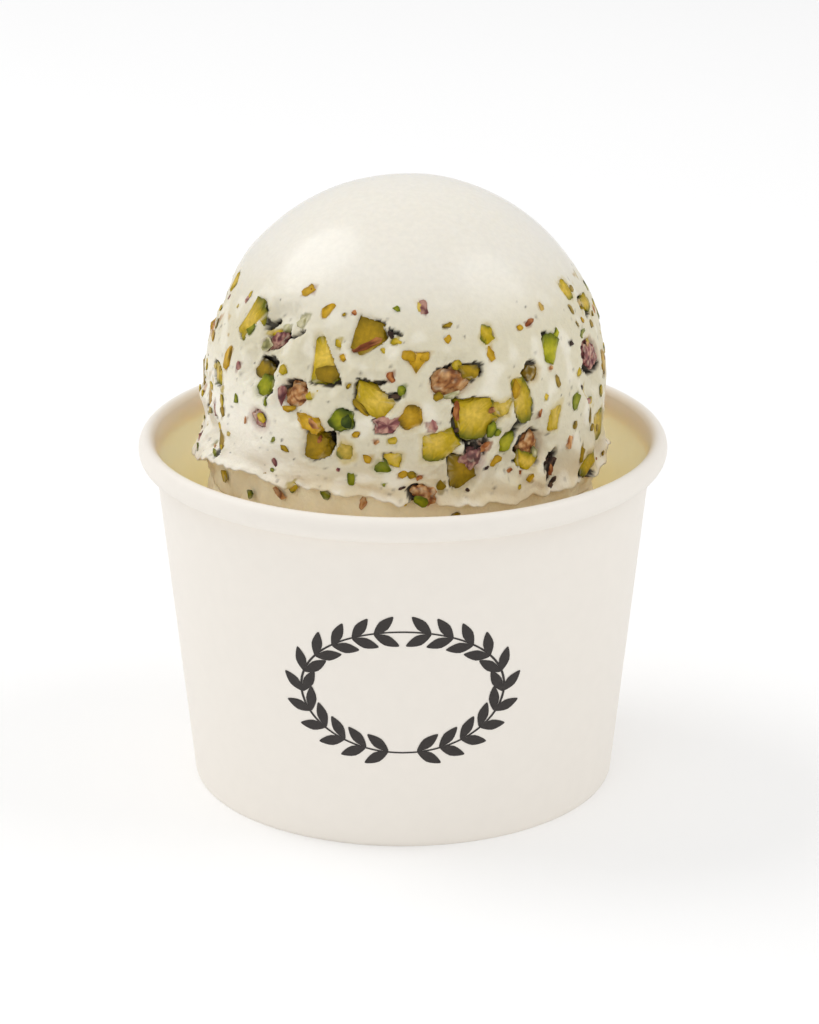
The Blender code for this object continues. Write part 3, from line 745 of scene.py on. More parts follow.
def nut_seats(points, bits):
    """The seat that each piece fills to its rim, with ragged cream over the edge of a sunk one, the open
    crack beside it, and the cream a little heaped round it. Also how far each point is into a crack."""
    relief = np.zeros(len(points))
    crevice = np.zeros(len(points))
    torn = 0.5 * MM * ripple(points, 1.5 * MM) + 0.3 * MM * ripple(points, 0.7 * MM)
    for bit in bits:
        centre = bit_frame(bit)[0]
        near = np.linalg.norm(points - centre, axis=1) < bit.length * 0.8 + 3 * MM
        away, way = bit_places(bit, points[near] - centre)
        past_rim = (away - 1) * math.sqrt(bit.length * bit.width) / 2
        cover = (1 - bit.bare) * 0.7 * MM + torn[near] * (1.3 - bit.bare)
        seat = 1 - smoothstep(-0.36 * MM, -0.06 * MM, past_rim + np.maximum(cover, 0))
        opening = bit.crack_width * (0.5 + 0.5 * np.cos(way - bit.crack_side)) ** 2
        opening = opening * (1 + torn[near] / (0.5 * MM))
        opening += (bit.facets == "crevice") * (torn[near] + 0.2 * MM)
        crack = 1 - smoothstep(-0.16 * MM, 0.16 * MM, past_rim - opening)
        crack *= smoothstep(0.08 * MM, 0.3 * MM, opening)
        heap = hump(past_rim, 0.7 * MM, 0.6 * MM) * 0.12 * MM
        relief[near] += heap - np.maximum(seat, crack * CRACK_SHARE) * PIT_DEPTH
        crevice[near] = np.maximum(crevice[near], crack)
    return np.maximum(relief, -1.6 * PIT_DEPTH), crevice


def deselect():
    for obj in bpy.context.selected_objects:
        obj.select_set(False)


def make_active(obj):
    deselect()
    obj.select_set(True)
    bpy.context.view_layer.objects.active = obj


def new_object(name, points, edges, faces):
    mesh = bpy.data.meshes.new(name)
    mesh.from_pydata(points, edges, faces)
    obj = bpy.data.objects.new(name, mesh)
    bpy.context.collection.objects.link(obj)
    make_active(obj)
    return obj


def spun(name, outline, columns):
    """Spins an outline of (radius, height) round the upright axis in edit mode, poles and seam closed."""
    points = [(radius, 0, height) for radius, height in outline]
    obj = new_object(name, points, [(i, i + 1) for i in range(len(points) - 1)], [])
    bpy.ops.object.mode_set(mode="EDIT")
    bpy.ops.mesh.select_all(action="SELECT")
    bpy.ops.mesh.spin(steps=columns, angle=FULL_TURN, center=(0, 0, 0), axis=(0, 0, 1))
    bpy.ops.mesh.select_all(action="SELECT")
    bpy.ops.mesh.remove_doubles(threshold=1e-6)
    bpy.ops.mesh.normals_make_consistent(inside=False)
    bpy.ops.object.mode_set(mode="OBJECT")
    return obj


def split_faces(obj, chosen, cuts):
    """Subdivides the faces whose centre passes the test."""
    for part in (*obj.data.edges, *obj.data.vertices):
        part.select = False
    for face in obj.data.polygons:
        face.select = bool(chosen(face.center))
    bpy.context.tool_settings.mesh_select_mode = (False, False, True)
    bpy.ops.object.mode_set(mode="EDIT")
    bpy.ops.mesh.subdivide(number_cuts=cuts)
    bpy.ops.object.mode_set(mode="OBJECT")


def read_points(obj):
    flat = np.empty(len(obj.data.vertices) * 3, np.float32)
    obj.data.vertices.foreach_get("co", flat)
    return flat.reshape(-1, 3).astype(float)


def write_points(obj, points):
    obj.data.vertices.foreach_set("co", points.astype(np.float32).ravel())
    obj.data.update()


def paint(obj, colours, name="tint"):
    """Stores one linear colour for each vertex."""
    attribute = obj.data.color_attributes.new(name, "FLOAT_COLOR", "POINT")
    whole = np.ones((len(colours), 4), np.float32)
    whole[:, :3] = colours
    attribute.data.foreach_set("color", whole.ravel())


def paint_value(obj, name, values):
    attribute = obj.data.attributes.new(name, "FLOAT", "POINT")
    attribute.data.foreach_set("value", np.asarray(values, np.float32))


def towards(colours, target, share):
    """Moves each colour this share of the way to the target."""
    share = np.asarray(share)[:, None]
    return colours * (1 - share) + np.asarray(target) * share


def settle(obj, material, smooth_angle=None, nodes=()):
    """Finishes a piece: material, shading, what it rides on and what it stands for."""
    obj.data.materials.clear()
    obj.data.materials.append(material)
    obj.data.shade_smooth()
    if smooth_angle is not None:
        obj.data.set_sharp_from_angle(angle=math.radians(smooth_angle))
    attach(obj, "root")
    if nodes:
        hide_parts(*nodes)


def add_node(tree, kind, properties=None, values=None, links=None):
    """Adds a node, sets its properties and input values, and links each named input to an output."""
    node = tree.nodes.new(kind)
    for name, value in (properties or {}).items():
        setattr(node, name, value)
    for name, value in (values or {}).items():
        node.inputs[name].default_value = value
    for name, output in (links or {}).items():
        tree.links.new(output, node.inputs[name])
    return node


def new_material(name):
    """An empty material with a Principled surface: its node tree, the surface and the object's places."""
    material = bpy.data.materials.new(name)
    material.use_nodes = True
    tree = material.node_tree
    places = add_node(tree, "ShaderNodeTexCoord").outputs["Object"]
    return material, tree, tree.nodes["Principled BSDF"], places


def painted(tree, name):
    """The attribute of this name that is stored on the piece's points."""
    return add_node(tree, "ShaderNodeAttribute", {"attribute_name": name}).outputs


def speckle(tree, places, size):
    """Noise of this grain size."""
    values = {"Scale": 1 / size, "Detail": 4.0}
    return add_node(tree, "ShaderNodeTexNoise", None, values, {"Vector": places}).outputs["Fac"]


def mapped(tree, value, low, high, start=0, end=1):
    """A value that runs from low to high while the one it comes from runs from start to end."""
    limits = {"From Min": start, "From Max": end, "To Min": low, "To Max": high}
    return add_node(tree, "ShaderNodeMapRange", None, limits, {"Value": value}).outputs["Result"]


def speckled_tint(tree, places, size, low, high):
    """The painted tint, made a little darker or lighter by noise of this grain."""
    strength = mapped(tree, speckle(tree, places, size), low, high, 0.3, 0.7)
    links = {0: painted(tree, "tint")["Color"], "Scale": strength}
    return add_node(tree, "ShaderNodeVectorMath", {"operation": "SCALE"}, None, links).outputs["Vector"]


def bump_normal(tree, places, size, height):
    """A bumpy normal from noise of this grain size and height."""
    values = {"Strength": 1.0, "Distance": height}
    links = {"Height": speckle(tree, places, size)}
    return add_node(tree, "ShaderNodeBump", None, values, links).outputs["Normal"]


def coated_board():
    """Clay-coated paperboard, pressed smooth: a warm white satin with the faintest fibre mottle. The bare
    lining glows a little with the light that comes through the thin board."""
    material, tree, surface, places = new_material("coated_paperboard")
    tree.links.new(speckled_tint(tree, places, 2.5 * MM, 0.99, 1.005), surface.inputs["Base Color"])
    tree.links.new(bump_normal(tree, places, 0.7 * MM, 0.008 * MM), surface.inputs["Normal"])
    tree.links.new(painted(tree, "lining")["Fac"], surface.inputs["Subsurface Weight"])
    surface.inputs["Roughness"].default_value = 0.5
    surface.inputs["IOR"].default_value = 1.48
    surface.inputs["Subsurface Radius"].default_value = (1.0, 0.85, 0.65)
    surface.inputs["Subsurface Scale"].default_value = 3.0 * MM
    return material


def black_ink():
    """Flexo ink laid thin on the board: near black, a little duller than the coating round it."""
    material, tree, surface, places = new_material("printing_ink")
    tree.links.new(speckled_tint(tree, places, 0.5 * MM, 0.9, 1.2), surface.inputs["Base Color"])
    surface.inputs["Roughness"].default_value = 0.6
    surface.inputs["IOR"].default_value = 1.5
    return material


def frozen_cream():
    """Milk gelato: light scatters inside, the wiped dome has a wet film, the torn band is dull and icy."""
    material, tree, surface, places = new_material("frozen_milk_cream")
    tree.links.new(speckled_tint(tree, places, 0.9 * MM, 0.965, 1.02), surface.inputs["Base Color"])
    dull = painted(tree, "dull")["Fac"]
    bump = bump_normal(tree, places, 0.45 * MM, 0.11 * MM)
    tree.links.new(mapped(tree, dull, 0.25, 1), bump.node.inputs["Strength"])
    tree.links.new(bump, surface.inputs["Normal"])
    tree.links.new(mapped(tree, dull, 0.3, 0.6), surface.inputs["Roughness"])
    tree.links.new(mapped(tree, dull, 0.6, 0.08), surface.inputs["Coat Weight"])
    surface.inputs["Coat Roughness"].default_value = 0.16
    surface.inputs["Coat IOR"].default_value = 1.36
    surface.inputs["IOR"].default_value = 1.36
    surface.inputs["Subsurface Weight"].default_value = 0.25
    surface.inputs["Subsurface Radius"].default_value = (1.0, 0.85, 0.6)
    surface.inputs["Subsurface Scale"].default_value = 1.0 * MM
    return material


def nut_flesh(name, roughness, relief):
    """Chopped raw pistachio: waxy cut flesh or crumpled seed skin with a fine grain."""
    material, tree, surface, places = new_material(name)
    tree.links.new(speckled_tint(tree, places, 0.7 * MM, 0.8, 1.12), surface.inputs["Base Color"])
    tree.links.new(bump_normal(tree, places, 0.5 * MM, relief), surface.inputs["Normal"])
    surface.inputs["Roughness"].default_value = roughness
    surface.inputs["IOR"].default_value = 1.46
    surface.inputs["Specular IOR Level"].default_value = 0.2
    return material


def studio_floor():
    """Matt white paint on a seamless studio floor."""
    material, tree, surface, places = new_material("matt_white_floor")
    mottle = add_node(tree, "ShaderNodeTexNoise", None, {"Scale": 3.0}, {"Vector": places})
    ramp = add_node(tree, "ShaderNodeValToRGB", links={"Fac": mottle.outputs["Fac"]})
    ramp.color_ramp.elements[0].color = (*srgb("#fbfbfb"), 1)
    ramp.color_ramp.elements[1].color = (*srgb("#fefefe"), 1)
    tree.links.new(ramp.outputs["Color"], surface.inputs["Base Color"])
    surface.inputs["Roughness"].default_value = 0.9
    return material


def material_of(name, maker, *details):
    """The material of this name, made the first time it is asked for."""
    return bpy.data.materials.get(name) or maker(*details)


class CupSettings(bpy.types.PropertyGroup):
    """Colours of the paper cup, the painted warm shade inside it, its seam and the size of its print"""

    paper: colour_property("Paper", "Colour of the coated board outside", "#f0eae1")
    # inside and depth are painted warm shade and bounce light on the inner face, not the board's own colour;
    # depth is where it is deepest, next to the gelato
    inside: colour_property("Inside", "Colour of the wall's inner face below the rim", "#fde6c7")
    depth: colour_property("Depth", "Colour of the inner face where it meets the gelato", "#fedbb1")
    ink: colour_property("Ink", "Colour of the printed wreath", "#2a2421")
    seam_step: size_property("Seam step", "How thick the side seam's overlap is", 0.28 * MM, 1 * MM)
    wreath_height: size_property("Wreath height", "How high the wreath's middle stands", 29 * MM, 45 * MM)
    wreath_half_width: size_property("Wreath half width", "Middle to side of its stem", 17 * MM, 26 * MM)
    wreath_half_height: size_property("Wreath half height", "Middle to top of its stem", 11 * MM, 18 * MM)
    leaf_length: size_property("Leaf length", "Length of one leaf of the wreath", 4.6 * MM, 9 * MM)
    leaf_width: size_property("Leaf width", "Width of one leaf of the wreath", 1.9 * MM, 5 * MM)


class GelatoSettings(bpy.types.PropertyGroup):
    """Colours and surface of the gelato"""

    dome: colour_property("Dome", "Colour of the smooth top", "#eae5d9")
    band: colour_property("Band", "Colour of the torn and icy side", "#dad2b8")
    # low is painted shade: a warmer, darker cream near the lip, where the scoop lies in the cup's shade
    low: colour_property("Low", "Colour near the lip", "#e4d5b4")
    # frost also carries painted light: the cream on the lit left side is painted whiter with it
    frost: colour_property("Frost", "Colour of the frosted cream", "#f7f2e4")
    # portion is painted light: a pale warm cream that stands in for light bounced from the cup wall, lifting
    # the shade under the lip
    portion: colour_property("First portion", "Colour under the lip and of the first portion", "#fff4d4")
    lip_bead: size_property("Lip bead", "How far the torn lip stands out", 0.6 * MM, 1.5 * MM)
    ice: size_property("Ice", "Height of the band's fine roughness", 0.17 * MM, 0.5 * MM)


class NutSettings(bpy.types.PropertyGroup):
    """How many small pieces the scoop holds, and how far the pieces stand out"""

    crumbs: count_property("Crumbs", "Small pieces that stand in the surface", 230, 600)
    specks: count_property("Specks", "Bits that show through the surface", 300, 900)
    dust: count_property("Dust", "Dark grains of seed skin", 520, 2000)
    kernel_proud: size_property("Kernels", "How far a bare kernel stands out", 0.38 * MM, 1 * MM)
    crumb_proud: size_property("Small pieces", "How far a bare crumb stands out", 0.2 * MM, 1 * MM)


class StageSettings(bpy.types.PropertyGroup):
    """Studio light"""

    sky: FloatProperty(name="Sky", description="Strength of the even light", default=0.75, min=0, max=3)
    left_power: power_property("Left box", "Power of the left soft box", 3.4)
    right_power: power_property("Right box", "Power of the right soft box", 2.1)
    front_power: power_property("Front box", "Power of the front soft box", 1.8)


def cup_outline():
    """The paper wall from the roll's inner edge over the rim, down outside, round the heel and up inside."""
    roll_radius = RIM_RADIUS - ROLL_WIDTH / 2
    roll_height = CUP_HEIGHT - ROLL_HEIGHT / 2
    outline = []
    for i in range(25):
        angle = math.radians(150 - 10 * i)
        across, rise = ROLL_WIDTH / 2 * math.cos(angle), ROLL_HEIGHT / 2 * math.sin(angle)
        outline.append((roll_radius + across, roll_height + rise))
    foot = CUP_HEIGHT - ROLL_HEIGHT - 0.6 * MM
    outline.append((wall_radius(foot) + 0.12 * MM, foot))
    for i in range(1, 13):
        height = foot * (1 - i / 12) + 0.9 * MM * i / 12
        outline.append((wall_radius(height), height))
    outline += [
        (wall_radius(0.35 * MM) - 0.03 * MM, 0.35 * MM),
        (wall_radius(0) - 0.2 * MM, 0),
        (wall_radius(0) - HEEL_THICKNESS + 0.15 * MM, 0),
        (wall_radius(0) - HEEL_THICKNESS, 0.25 * MM),
        (wall_radius(HEEL_HEIGHT) - HEEL_THICKNESS, HEEL_HEIGHT - 0.1 * MM),
        (wall_radius(HEEL_HEIGHT) - PAPER - 0.1 * MM, HEEL_HEIGHT),
    ]
    for i in range(1, 17):
        height = HEEL_HEIGHT + (foot - HEEL_HEIGHT) * i / 16
        outline.append((wall_radius(height) - PAPER, height))
    outline.append((RIM_RADIUS - ROLL_WIDTH + 0.02 * MM, roll_height - 0.4 * MM))
    outline.append(outline[0])
    return outline


class GELATO_OT_paper_cup(bpy.types.Operator):
    """Turns the coated paper wall with its rolled rim, folded foot and side seam"""

    bl_idname = "gelato.paper_cup"
    bl_label = "Paper cup"

    def execute(self, context):
        look = context.scene.gelato_cup
        cup = spun("paper_cup", cup_outline(), CUP_COLUMNS)
        points = read_points(cup)
        azimuth = np.arctan2(points[:, 0], -points[:, 1])
        radius = np.hypot(points[:, 0], points[:, 1])
        height = points[:, 2]
        along = (azimuth - SEAM_TURN) * radius
        outer = radius > wall_radius(height) - PAPER / 2
        below_roll = height < CUP_HEIGHT - ROLL_HEIGHT - 0.3 * MM
        lap = smoothstep(0, 0.5 * MM, along) * (1 - smoothstep(SEAM_WIDTH * 0.6, SEAM_WIDTH, along))
        points += direction(azimuth) * (look.seam_step * lap * (outer & below_roll))[:, None]
        write_points(cup, points)
        inside = (radius < wall_radius(height) - PAPER * 0.7) | (height > CUP_HEIGHT - ROLL_HEIGHT)
        inside &= (height > HEEL_HEIGHT - 1 * MM) & (radius < RIM_RADIUS - ROLL_WIDTH * 0.5)
        # painted warm shade and bounce light: the inner face turns tan below the rim, and more so deeper down
        inward = smoothstep(RIM_RADIUS - ROLL_WIDTH * 0.45, RIM_RADIUS - ROLL_WIDTH * 0.95, radius)
        depth = CUP_HEIGHT - height
        painted_warm_shade = np.maximum(inward * 0.4, smoothstep(1.8 * MM, 5 * MM, depth))
        colours = np.tile(np.array(look.paper), (len(points), 1))
        colours = towards(colours, look.inside, inside * painted_warm_shade)
        colours = towards(colours, look.depth, inside * smoothstep(5 * MM, 20 * MM, depth))
        paint(cup, colours)
        paint_value(cup, "lining", inside * smoothstep(1 * MM, 4 * MM, depth))
        board = material_of("coated_paperboard", coated_board)
        settle(cup, board, CUP_EDGE_ANGLE, ["cup_wall"])
        return {"FINISHED"}


class GELATO_OT_cup_floor(bpy.types.Operator):
    """Turns the base sheet with its edge folded down inside the heel"""

    bl_idname = "gelato.cup_floor"
    bl_label = "Cup floor"

    def execute(self, context):
        low, high = FLOOR_LOW.z, FLOOR_HIGH.z
        radius = FLOOR_HIGH.x
        turned = wall_radius(0) - HEEL_THICKNESS - 0.25 * MM
        outline = [
            (0, high),
            (radius - 0.4 * MM, high),
            (radius, high - 0.2 * MM),
            (radius - 0.1 * MM, low + 0.1 * MM),
            (turned, low),
            (turned - 0.1 * MM, 0.6 * MM),
            (turned - 0.5 * MM, 0.6 * MM),
            (turned - 0.6 * MM, low - 0.2 * MM),
            (turned - 2.2 * MM, low + 0.15 * MM),
            (0, low + 0.15 * MM),
        ]
        sheet = spun("cup_floor_sheet", outline, FLOOR_COLUMNS)
        count = len(sheet.data.vertices)
        paint_value(sheet, "lining", np.zeros(count))
        paint(sheet, np.tile(np.array(context.scene.gelato_cup.paper), (count, 1)))
        board = material_of("coated_paperboard", coated_board)
        settle(sheet, board, CUP_EDGE_ANGLE, ["cup_base"])
        return {"FINISHED"}


def on_wall(along, height):
    """Points of the wall's outer face, from how far they lie along it from the front and how high."""
    radius = wall_radius(height) + INK_LIFT
    return direction(along / radius) * radius[:, None] + np.stack([0 * height, 0 * height, height], axis=-1)


class GELATO_OT_printed_wreath(bpy.types.Operator):
    """Lays an oval wreath of leaves on the cup's front"""

    bl_idname = "gelato.printed_wreath"
    bl_label = "Printed wreath"

    def execute(self, context):
        look = context.scene.gelato_cup
        oval = np.array((look.wreath_half_width, look.wreath_half_height))
        deselect()
        bpy.ops.mesh.primitive_circle_add(vertices=20, radius=0.5, fill_type="TRIFAN")
        leaf = context.object
        bpy.ops.object.mode_set(mode="EDIT")
        bpy.ops.mesh.select_all(action="SELECT")
        bpy.ops.transform.resize(value=(look.leaf_length, look.leaf_width, 1))
        bpy.ops.object.mode_set(mode="OBJECT")
        outline = read_points(leaf)
        outline[:, 1] *= 1 - 0.5 * np.abs(outline[:, 0] * 2 / look.leaf_length) ** 1.5
        faces = np.array([tuple(face.vertices) for face in leaf.data.polygons])
        bpy.data.objects.remove(leaf)
        turns = np.radians(np.linspace(*LEAFY_PART, 200))
        stem = np.stack([np.cos(turns), np.sin(turns)], axis=-1) * oval
        along = np.append(0, np.cumsum(np.linalg.norm(np.diff(stem, axis=0), axis=1)))
        flat, corners = [], []
        for turn in np.interp(np.linspace(0, along[-1], WREATH_LEAVES), along, turns):
            growth = math.atan2(oval[1] * math.cos(turn), -oval[0] * math.sin(turn))
            root = oval * (math.cos(turn), math.sin(turn))
            for side in (-1, 1):
                lean = growth + side * LEAF_LEAN
                across = outline[:, 0] + look.leaf_length * 0.5
                x = across * math.cos(lean) - outline[:, 1] * math.sin(lean) + root[0]
                y = across * math.sin(lean) + outline[:, 1] * math.cos(lean) + root[1]
                for mirror in (-1, 1):
                    corners.append(faces + len(flat) * len(outline))
                    flat.append(np.stack([x * mirror, y], axis=-1))
        turns = np.linspace(0, FULL_TURN, STEM_STEPS + 1)
        ring = np.stack([np.cos(turns), np.sin(turns)], axis=-1) * oval
        grown = ring * (1 + STEM_WIDTH / oval[1] / 2)
        first = sum(len(part) for part in flat)
        flat += [ring, grown]
        outer = first + len(ring)
        strip = [(first + i, outer + i, outer + i + 1, first + i + 1) for i in range(STEM_STEPS)]
        flat = np.concatenate(flat)
        points = on_wall(flat[:, 0], flat[:, 1] + look.wreath_height)
        print_faces = np.concatenate(corners).tolist() + strip
        wreath = new_object("printed_wreath", points.tolist(), [], print_faces)
        bpy.ops.object.mode_set(mode="EDIT")
        bpy.ops.mesh.select_all(action="SELECT")
        bpy.ops.mesh.normals_make_consistent(inside=False)
        bpy.ops.object.mode_set(mode="OBJECT")
        paint(wreath, np.tile(np.array(look.ink), (len(points), 1)))
        settle(wreath, material_of("printing_ink", black_ink))
        return {"FINISHED"}


def scoop_outline():
    """The scoop's outline: dome, band, side, lip, neck and flat underside."""
    centre = SCOOP_CENTRE[2]
    outline = [(0, centre + SCOOP_RADIUS)]
    dome_angle = math.acos((DOME_LOW - centre) / SCOOP_RADIUS)
    dome_rows = round(SCOOP_RADIUS * dome_angle / ROW)
    band_rows = round(SCOOP_RADIUS * (math.pi / 2 - dome_angle) / ROW)
    angles = [dome_angle * (i + 1) / dome_rows for i in range(dome_rows)]
    angles += [dome_angle + (math.pi / 2 - dome_angle) * (i + 1) / band_rows for i in range(band_rows)]
    outline += [(SCOOP_RADIUS * math.sin(a), centre + SCOOP_RADIUS * math.cos(a)) for a in angles]
    side_rows = round((centre - LIP_HEIGHT) / ROW)
    for i in range(1, side_rows):
        height = centre - (centre - LIP_HEIGHT) * i / side_rows
        outline.append((float(core_radius(height)), height))
    lip = float(core_radius(LIP_HEIGHT))
    outline += [
        (lip + LIP_FLARE, LIP_HEIGHT),
        (lip - LIP_UNDERCUT * 0.6, LIP_HEIGHT - 0.2 * MM),
        (neck_radius(), LIP_HEIGHT + 0.2 * MM),
        (neck_radius() - 0.2 * MM, LIP_HEIGHT - 1.4 * MM),
        (neck_radius() - 0.4 * MM, LIP_HEIGHT - 2.8 * MM),
        (neck_radius() - 0.6 * MM, SCOOP_BOTTOM),
        (0, SCOOP_BOTTOM),
    ]
    return outline


def round_off(points):
    """Puts the points that splitting left on straight chords back on the smooth form."""
    offset = points - SCOOP_CENTRE
    reach = np.linalg.norm(offset, axis=1)
    ball = (offset[:, 2] > 0) & (reach > 0)
    scaled = SCOOP_CENTRE + offset * (SCOOP_RADIUS / np.where(ball, reach, 1))[:, None]
    points[ball] = scaled[ball]
    level = np.hypot(offset[:, 0], offset[:, 1])
    side = ~ball & (points[:, 2] > LIP_HEIGHT + ROW) & (level > SCOOP_RADIUS - 1 * MM)
    stretch = (core_radius(points[:, 2]) / np.where(side, level, 1))[:, None]
    points[side, :2] = (SCOOP_CENTRE[:2] + offset[:, :2] * stretch)[side]
    return points


def shape_scoop(points, craters, bits, look):
    """Moves the smooth scoop's points to their places: relief, hollows, seats of the nuts, torn lip."""
    offset = points - SCOOP_CENTRE
    level = offset * (1, 1, 0)
    reach = np.linalg.norm(level, axis=1)
    azimuth = np.arctan2(level[:, 0], -level[:, 1])
    outer = reach > core_radius(np.maximum(points[:, 2], LIP_HEIGHT)) - 0.7 * MM
    inward = (reach < SCOOP_RADIUS * 0.8) & (points[:, 2] < SCOOP_CENTRE[2])
    underside = inward | (points[:, 2] < SCOOP_BOTTOM + 0.2 * MM)
    above = points[:, 2] > SCOOP_CENTRE[2]
    out = np.where(above[:, None], offset, level)
    out /= np.maximum(np.linalg.norm(out, axis=1), 1e-9)[:, None]
    fine = icy_relief(points, look.ice)
    seats, crevice = nut_seats(points, bits)
    relief = np.where(outer, scoop_relief(points, craters) + fine + seats, fine * ~underside)
    neck = ~inward & (reach < neck_radius() + 0.3 * MM) & (points[:, 2] < LIP_HEIGHT + ROW)
    relief = np.where(neck, NECK_SWELL + portion_swell(points), relief)
    edge = hump(points[:, 2], LIP_HEIGHT, 1.1 * MM) * outer
    relief += edge * look.lip_bead * (0.5 + ripple(direction(azimuth) * 11, 1.0, 4.0))
    moved = points + out * relief[:, None]
    torn = ripple(direction(azimuth) * 20, 1.0) * 0.8 * MM + ripple(direction(azimuth) * 43, 1.0) * 0.2 * MM
    near_lip = hump(points[:, 2], LIP_HEIGHT, 1.5 * MM)
    moved[:, 2] += np.where(underside, 0, lip_shift(azimuth, points[:, 2]) + near_lip * torn)
    return moved, crevice


def stain(colours, points, bit, torn, strength):
    """Tints the cream at one bit with the bit's own colours, deeper in its middle."""
    centre = bit_frame(bit)[0]
    near = np.linalg.norm(points - centre, axis=1) < bit.length * 0.8 + 1 * MM
    away, _ = bit_places(bit, points[near] - centre)
    half = math.sqrt(bit.length * bit.width) / 2
    past_edge = (away - 1) * half + torn[near]
    blur = (0.15 + 0.35 * (1 - bit.bare)) * MM
    share = 1 - smoothstep(-blur, blur, past_edge)
    rim, flesh, heart = (np.array(srgb(code)) for code in NUT_COLOURS[bit.kind])
    body = towards(np.tile(flesh, (len(away), 1)), heart, smoothstep(-0.2 * MM, 0.3 * MM, torn[near]))
    body = towards(body, rim, hump(past_edge, -0.15 * MM, 0.2 * MM) * 0.5 * bit.bare)
    colours[near] = colours[near] * (1 - share * strength)[:, None] + body * (share * strength)[:, None]
    return colours


def cream_colours(points, bits, small, dust, crevice, tones):
    """The cream's colour: warm dome, cooler icy band, painted shade near the lip, frost in patches and on the
    torn lip, painted light as whiter cream on the left and as the pale portion tone under the lip, stains of
    the sunk pieces, dust, and painted shade in the open cracks."""
    high = smoothstep(84 * MM, 97 * MM, points[:, 2])
    # painted shade: the cream turns warmer and darker towards the lip
    low = 1 - smoothstep(58 * MM, 68 * MM, points[:, 2] + 3 * MM * ripple(points, 7 * MM))
    # painted light: the cream on the lit left side is painted whiter, with the frost tone
    left = smoothstep(10 * MM, 27 * MM, -points[:, 0]) * (1 - smoothstep(70 * MM, 84 * MM, points[:, 2]))
    patches = smoothstep(0.1, 0.5, ripple(points, 3.5 * MM)) * (1 - high) * 0.45
    bead = hump(points[:, 2], LIP_HEIGHT, 0.9 * MM) * smoothstep(-0.1, 0.4, ripple(points, 4 * MM))
    # frost here holds both real frost patches and the painted light of the left side
    frost = np.maximum.reduce([patches, left * 0.9, bead * 0.8])
    colours = np.tile(np.array(tones.band), (len(points), 1))
    colours = towards(colours, tones.dome, high)
    colours = towards(colours, tones.low, low)
    colours = towards(colours, tones.frost, frost)
    # painted light: under the lip the cream takes the pale warm portion tone, lifting the shade there
    colours = towards(colours, tones.portion, points[:, 2] < LIP_HEIGHT - 0.1 * MM)
    torn = 0.35 * MM * ripple(points, 1.1 * MM) + 0.2 * MM * ripple(points, 0.5 * MM)
    for bit in bits:
        halo = bit._replace(length=bit.length * 1.15, width=bit.width * 1.15, bare=0)
        colours = stain(colours, points, halo, torn, 0.15 + 0.6 * (1 - bit.bare))
    for bit in small:
        colours = stain(colours, points, bit, torn, 0.4 + 0.4 * bit.bare)
    for bit in dust:
        colours = stain(colours, points, bit, torn * 0.3, 0.5 + 0.4 * bit.bare)
    # painted shade in the open cracks
    cut = smoothstep(0.05, 0.3, crevice) * (0.85 + 0.15 * smoothstep(-0.3, 0.3, ripple(points, 1.2 * MM)))
    return towards(colours, srgb(CREVICE_SHADE), cut)


class GELATO_OT_scoop(bpy.types.Operator):
    """Turns the scoop, then tears, pits and stains its surface, and paints shade and light into its colour"""

    bl_idname = "gelato.scoop"
    bl_label = "Scoop"

    def execute(self, context):
        look, nuts = context.scene.gelato_cream, context.scene.gelato_nuts
        craters, bits = crater_spots(), nut_bits()
        small = front_spots()
        small += scattered_bits(SPECK_SEED, nuts.specks, SPECK_SIZE, 1.3, front=False)
        dust = [bit._replace(kind="dark") for bit in scattered_bits(DUST_SEED, nuts.dust, DUST_SIZE, 1.2)]
        scoop = spun("gelato_scoop_cream", scoop_outline(), SCOOP_COLUMNS)
        write_points(scoop, read_points(scoop) + SCOOP_CENTRE * (1, 0, 0))
        reach = neck_radius() - 1.5 * MM
        split_faces(
            scoop,
            lambda centre: centre.z < DOME_LOW
            and (centre.z > SCOOP_CENTRE[2] or math.hypot(centre.x - SCOOP_CENTRE[0], centre.y) > reach),
            BAND_SPLITS,
        )
        points = round_off(read_points(scoop))
        moved, crevice = shape_scoop(points, craters, bits + open_crevices(), look)
        write_points(scoop, moved)
        paint(scoop, cream_colours(points, bits, small, dust, crevice, look))
        edge = points[:, 2] + 2 * MM * ripple(points, 6 * MM)
        paint_value(scoop, "dull", 1 - smoothstep(BAND_HIGH - 5 * MM, BAND_HIGH + 2 * MM, edge))
        cream = material_of("frozen_milk_cream", frozen_cream)
        settle(scoop, cream, None, ["gelato_scoop"])
        return {"FINISHED"}


def fill_radius(height):
    """The first portion's radius where it lies against the wall."""
    return wall_radius(height) - PAPER - 2 * GAP


def bed_outline():
    """The first portion: a low fill against the wall with a mound that narrows under the scoop."""
    low = FLOOR_HIGH.z + GAP
    top = SCOOP_BOTTOM - GAP
    shoulder = BED_SHOULDER_HEIGHT
    return [
        (0, top),
        (BED_TOP_RADIUS - 1.2 * MM, top),
        (BED_TOP_RADIUS, top - 1.0 * MM),
        (BED_TOP_RADIUS + 0.2 * MM, top - 2.5 * MM),
        (BED_TOP_RADIUS + 0.4 * MM, top - 4 * MM),
        (BED_NECK_RADIUS, BED_NECK_HEIGHT),
        (BED_NECK_RADIUS + 0.5 * MM, BED_NECK_HEIGHT - 2.5 * MM),
        (BED_NECK_RADIUS + 1.2 * MM, BED_NECK_HEIGHT - 5 * MM),
        (BED_NECK_RADIUS + 2.1 * MM, BED_NECK_HEIGHT - 7 * MM),
        (BED_NECK_RADIUS + 3.4 * MM, BED_NECK_HEIGHT - 9 * MM),
        (fill_radius(shoulder) - 2.4 * MM, shoulder + 2.2 * MM),
        (fill_radius(shoulder) - 1.2 * MM, shoulder + 0.8 * MM),
        (fill_radius(shoulder), shoulder - 1.4 * MM),
        (fill_radius(low + 14 * MM), low + 14 * MM),
        (fill_radius(low + 0.6 * MM), low + 0.6 * MM),
        (fill_radius(low) - 1.0 * MM, low),
        (0, low),
    ]


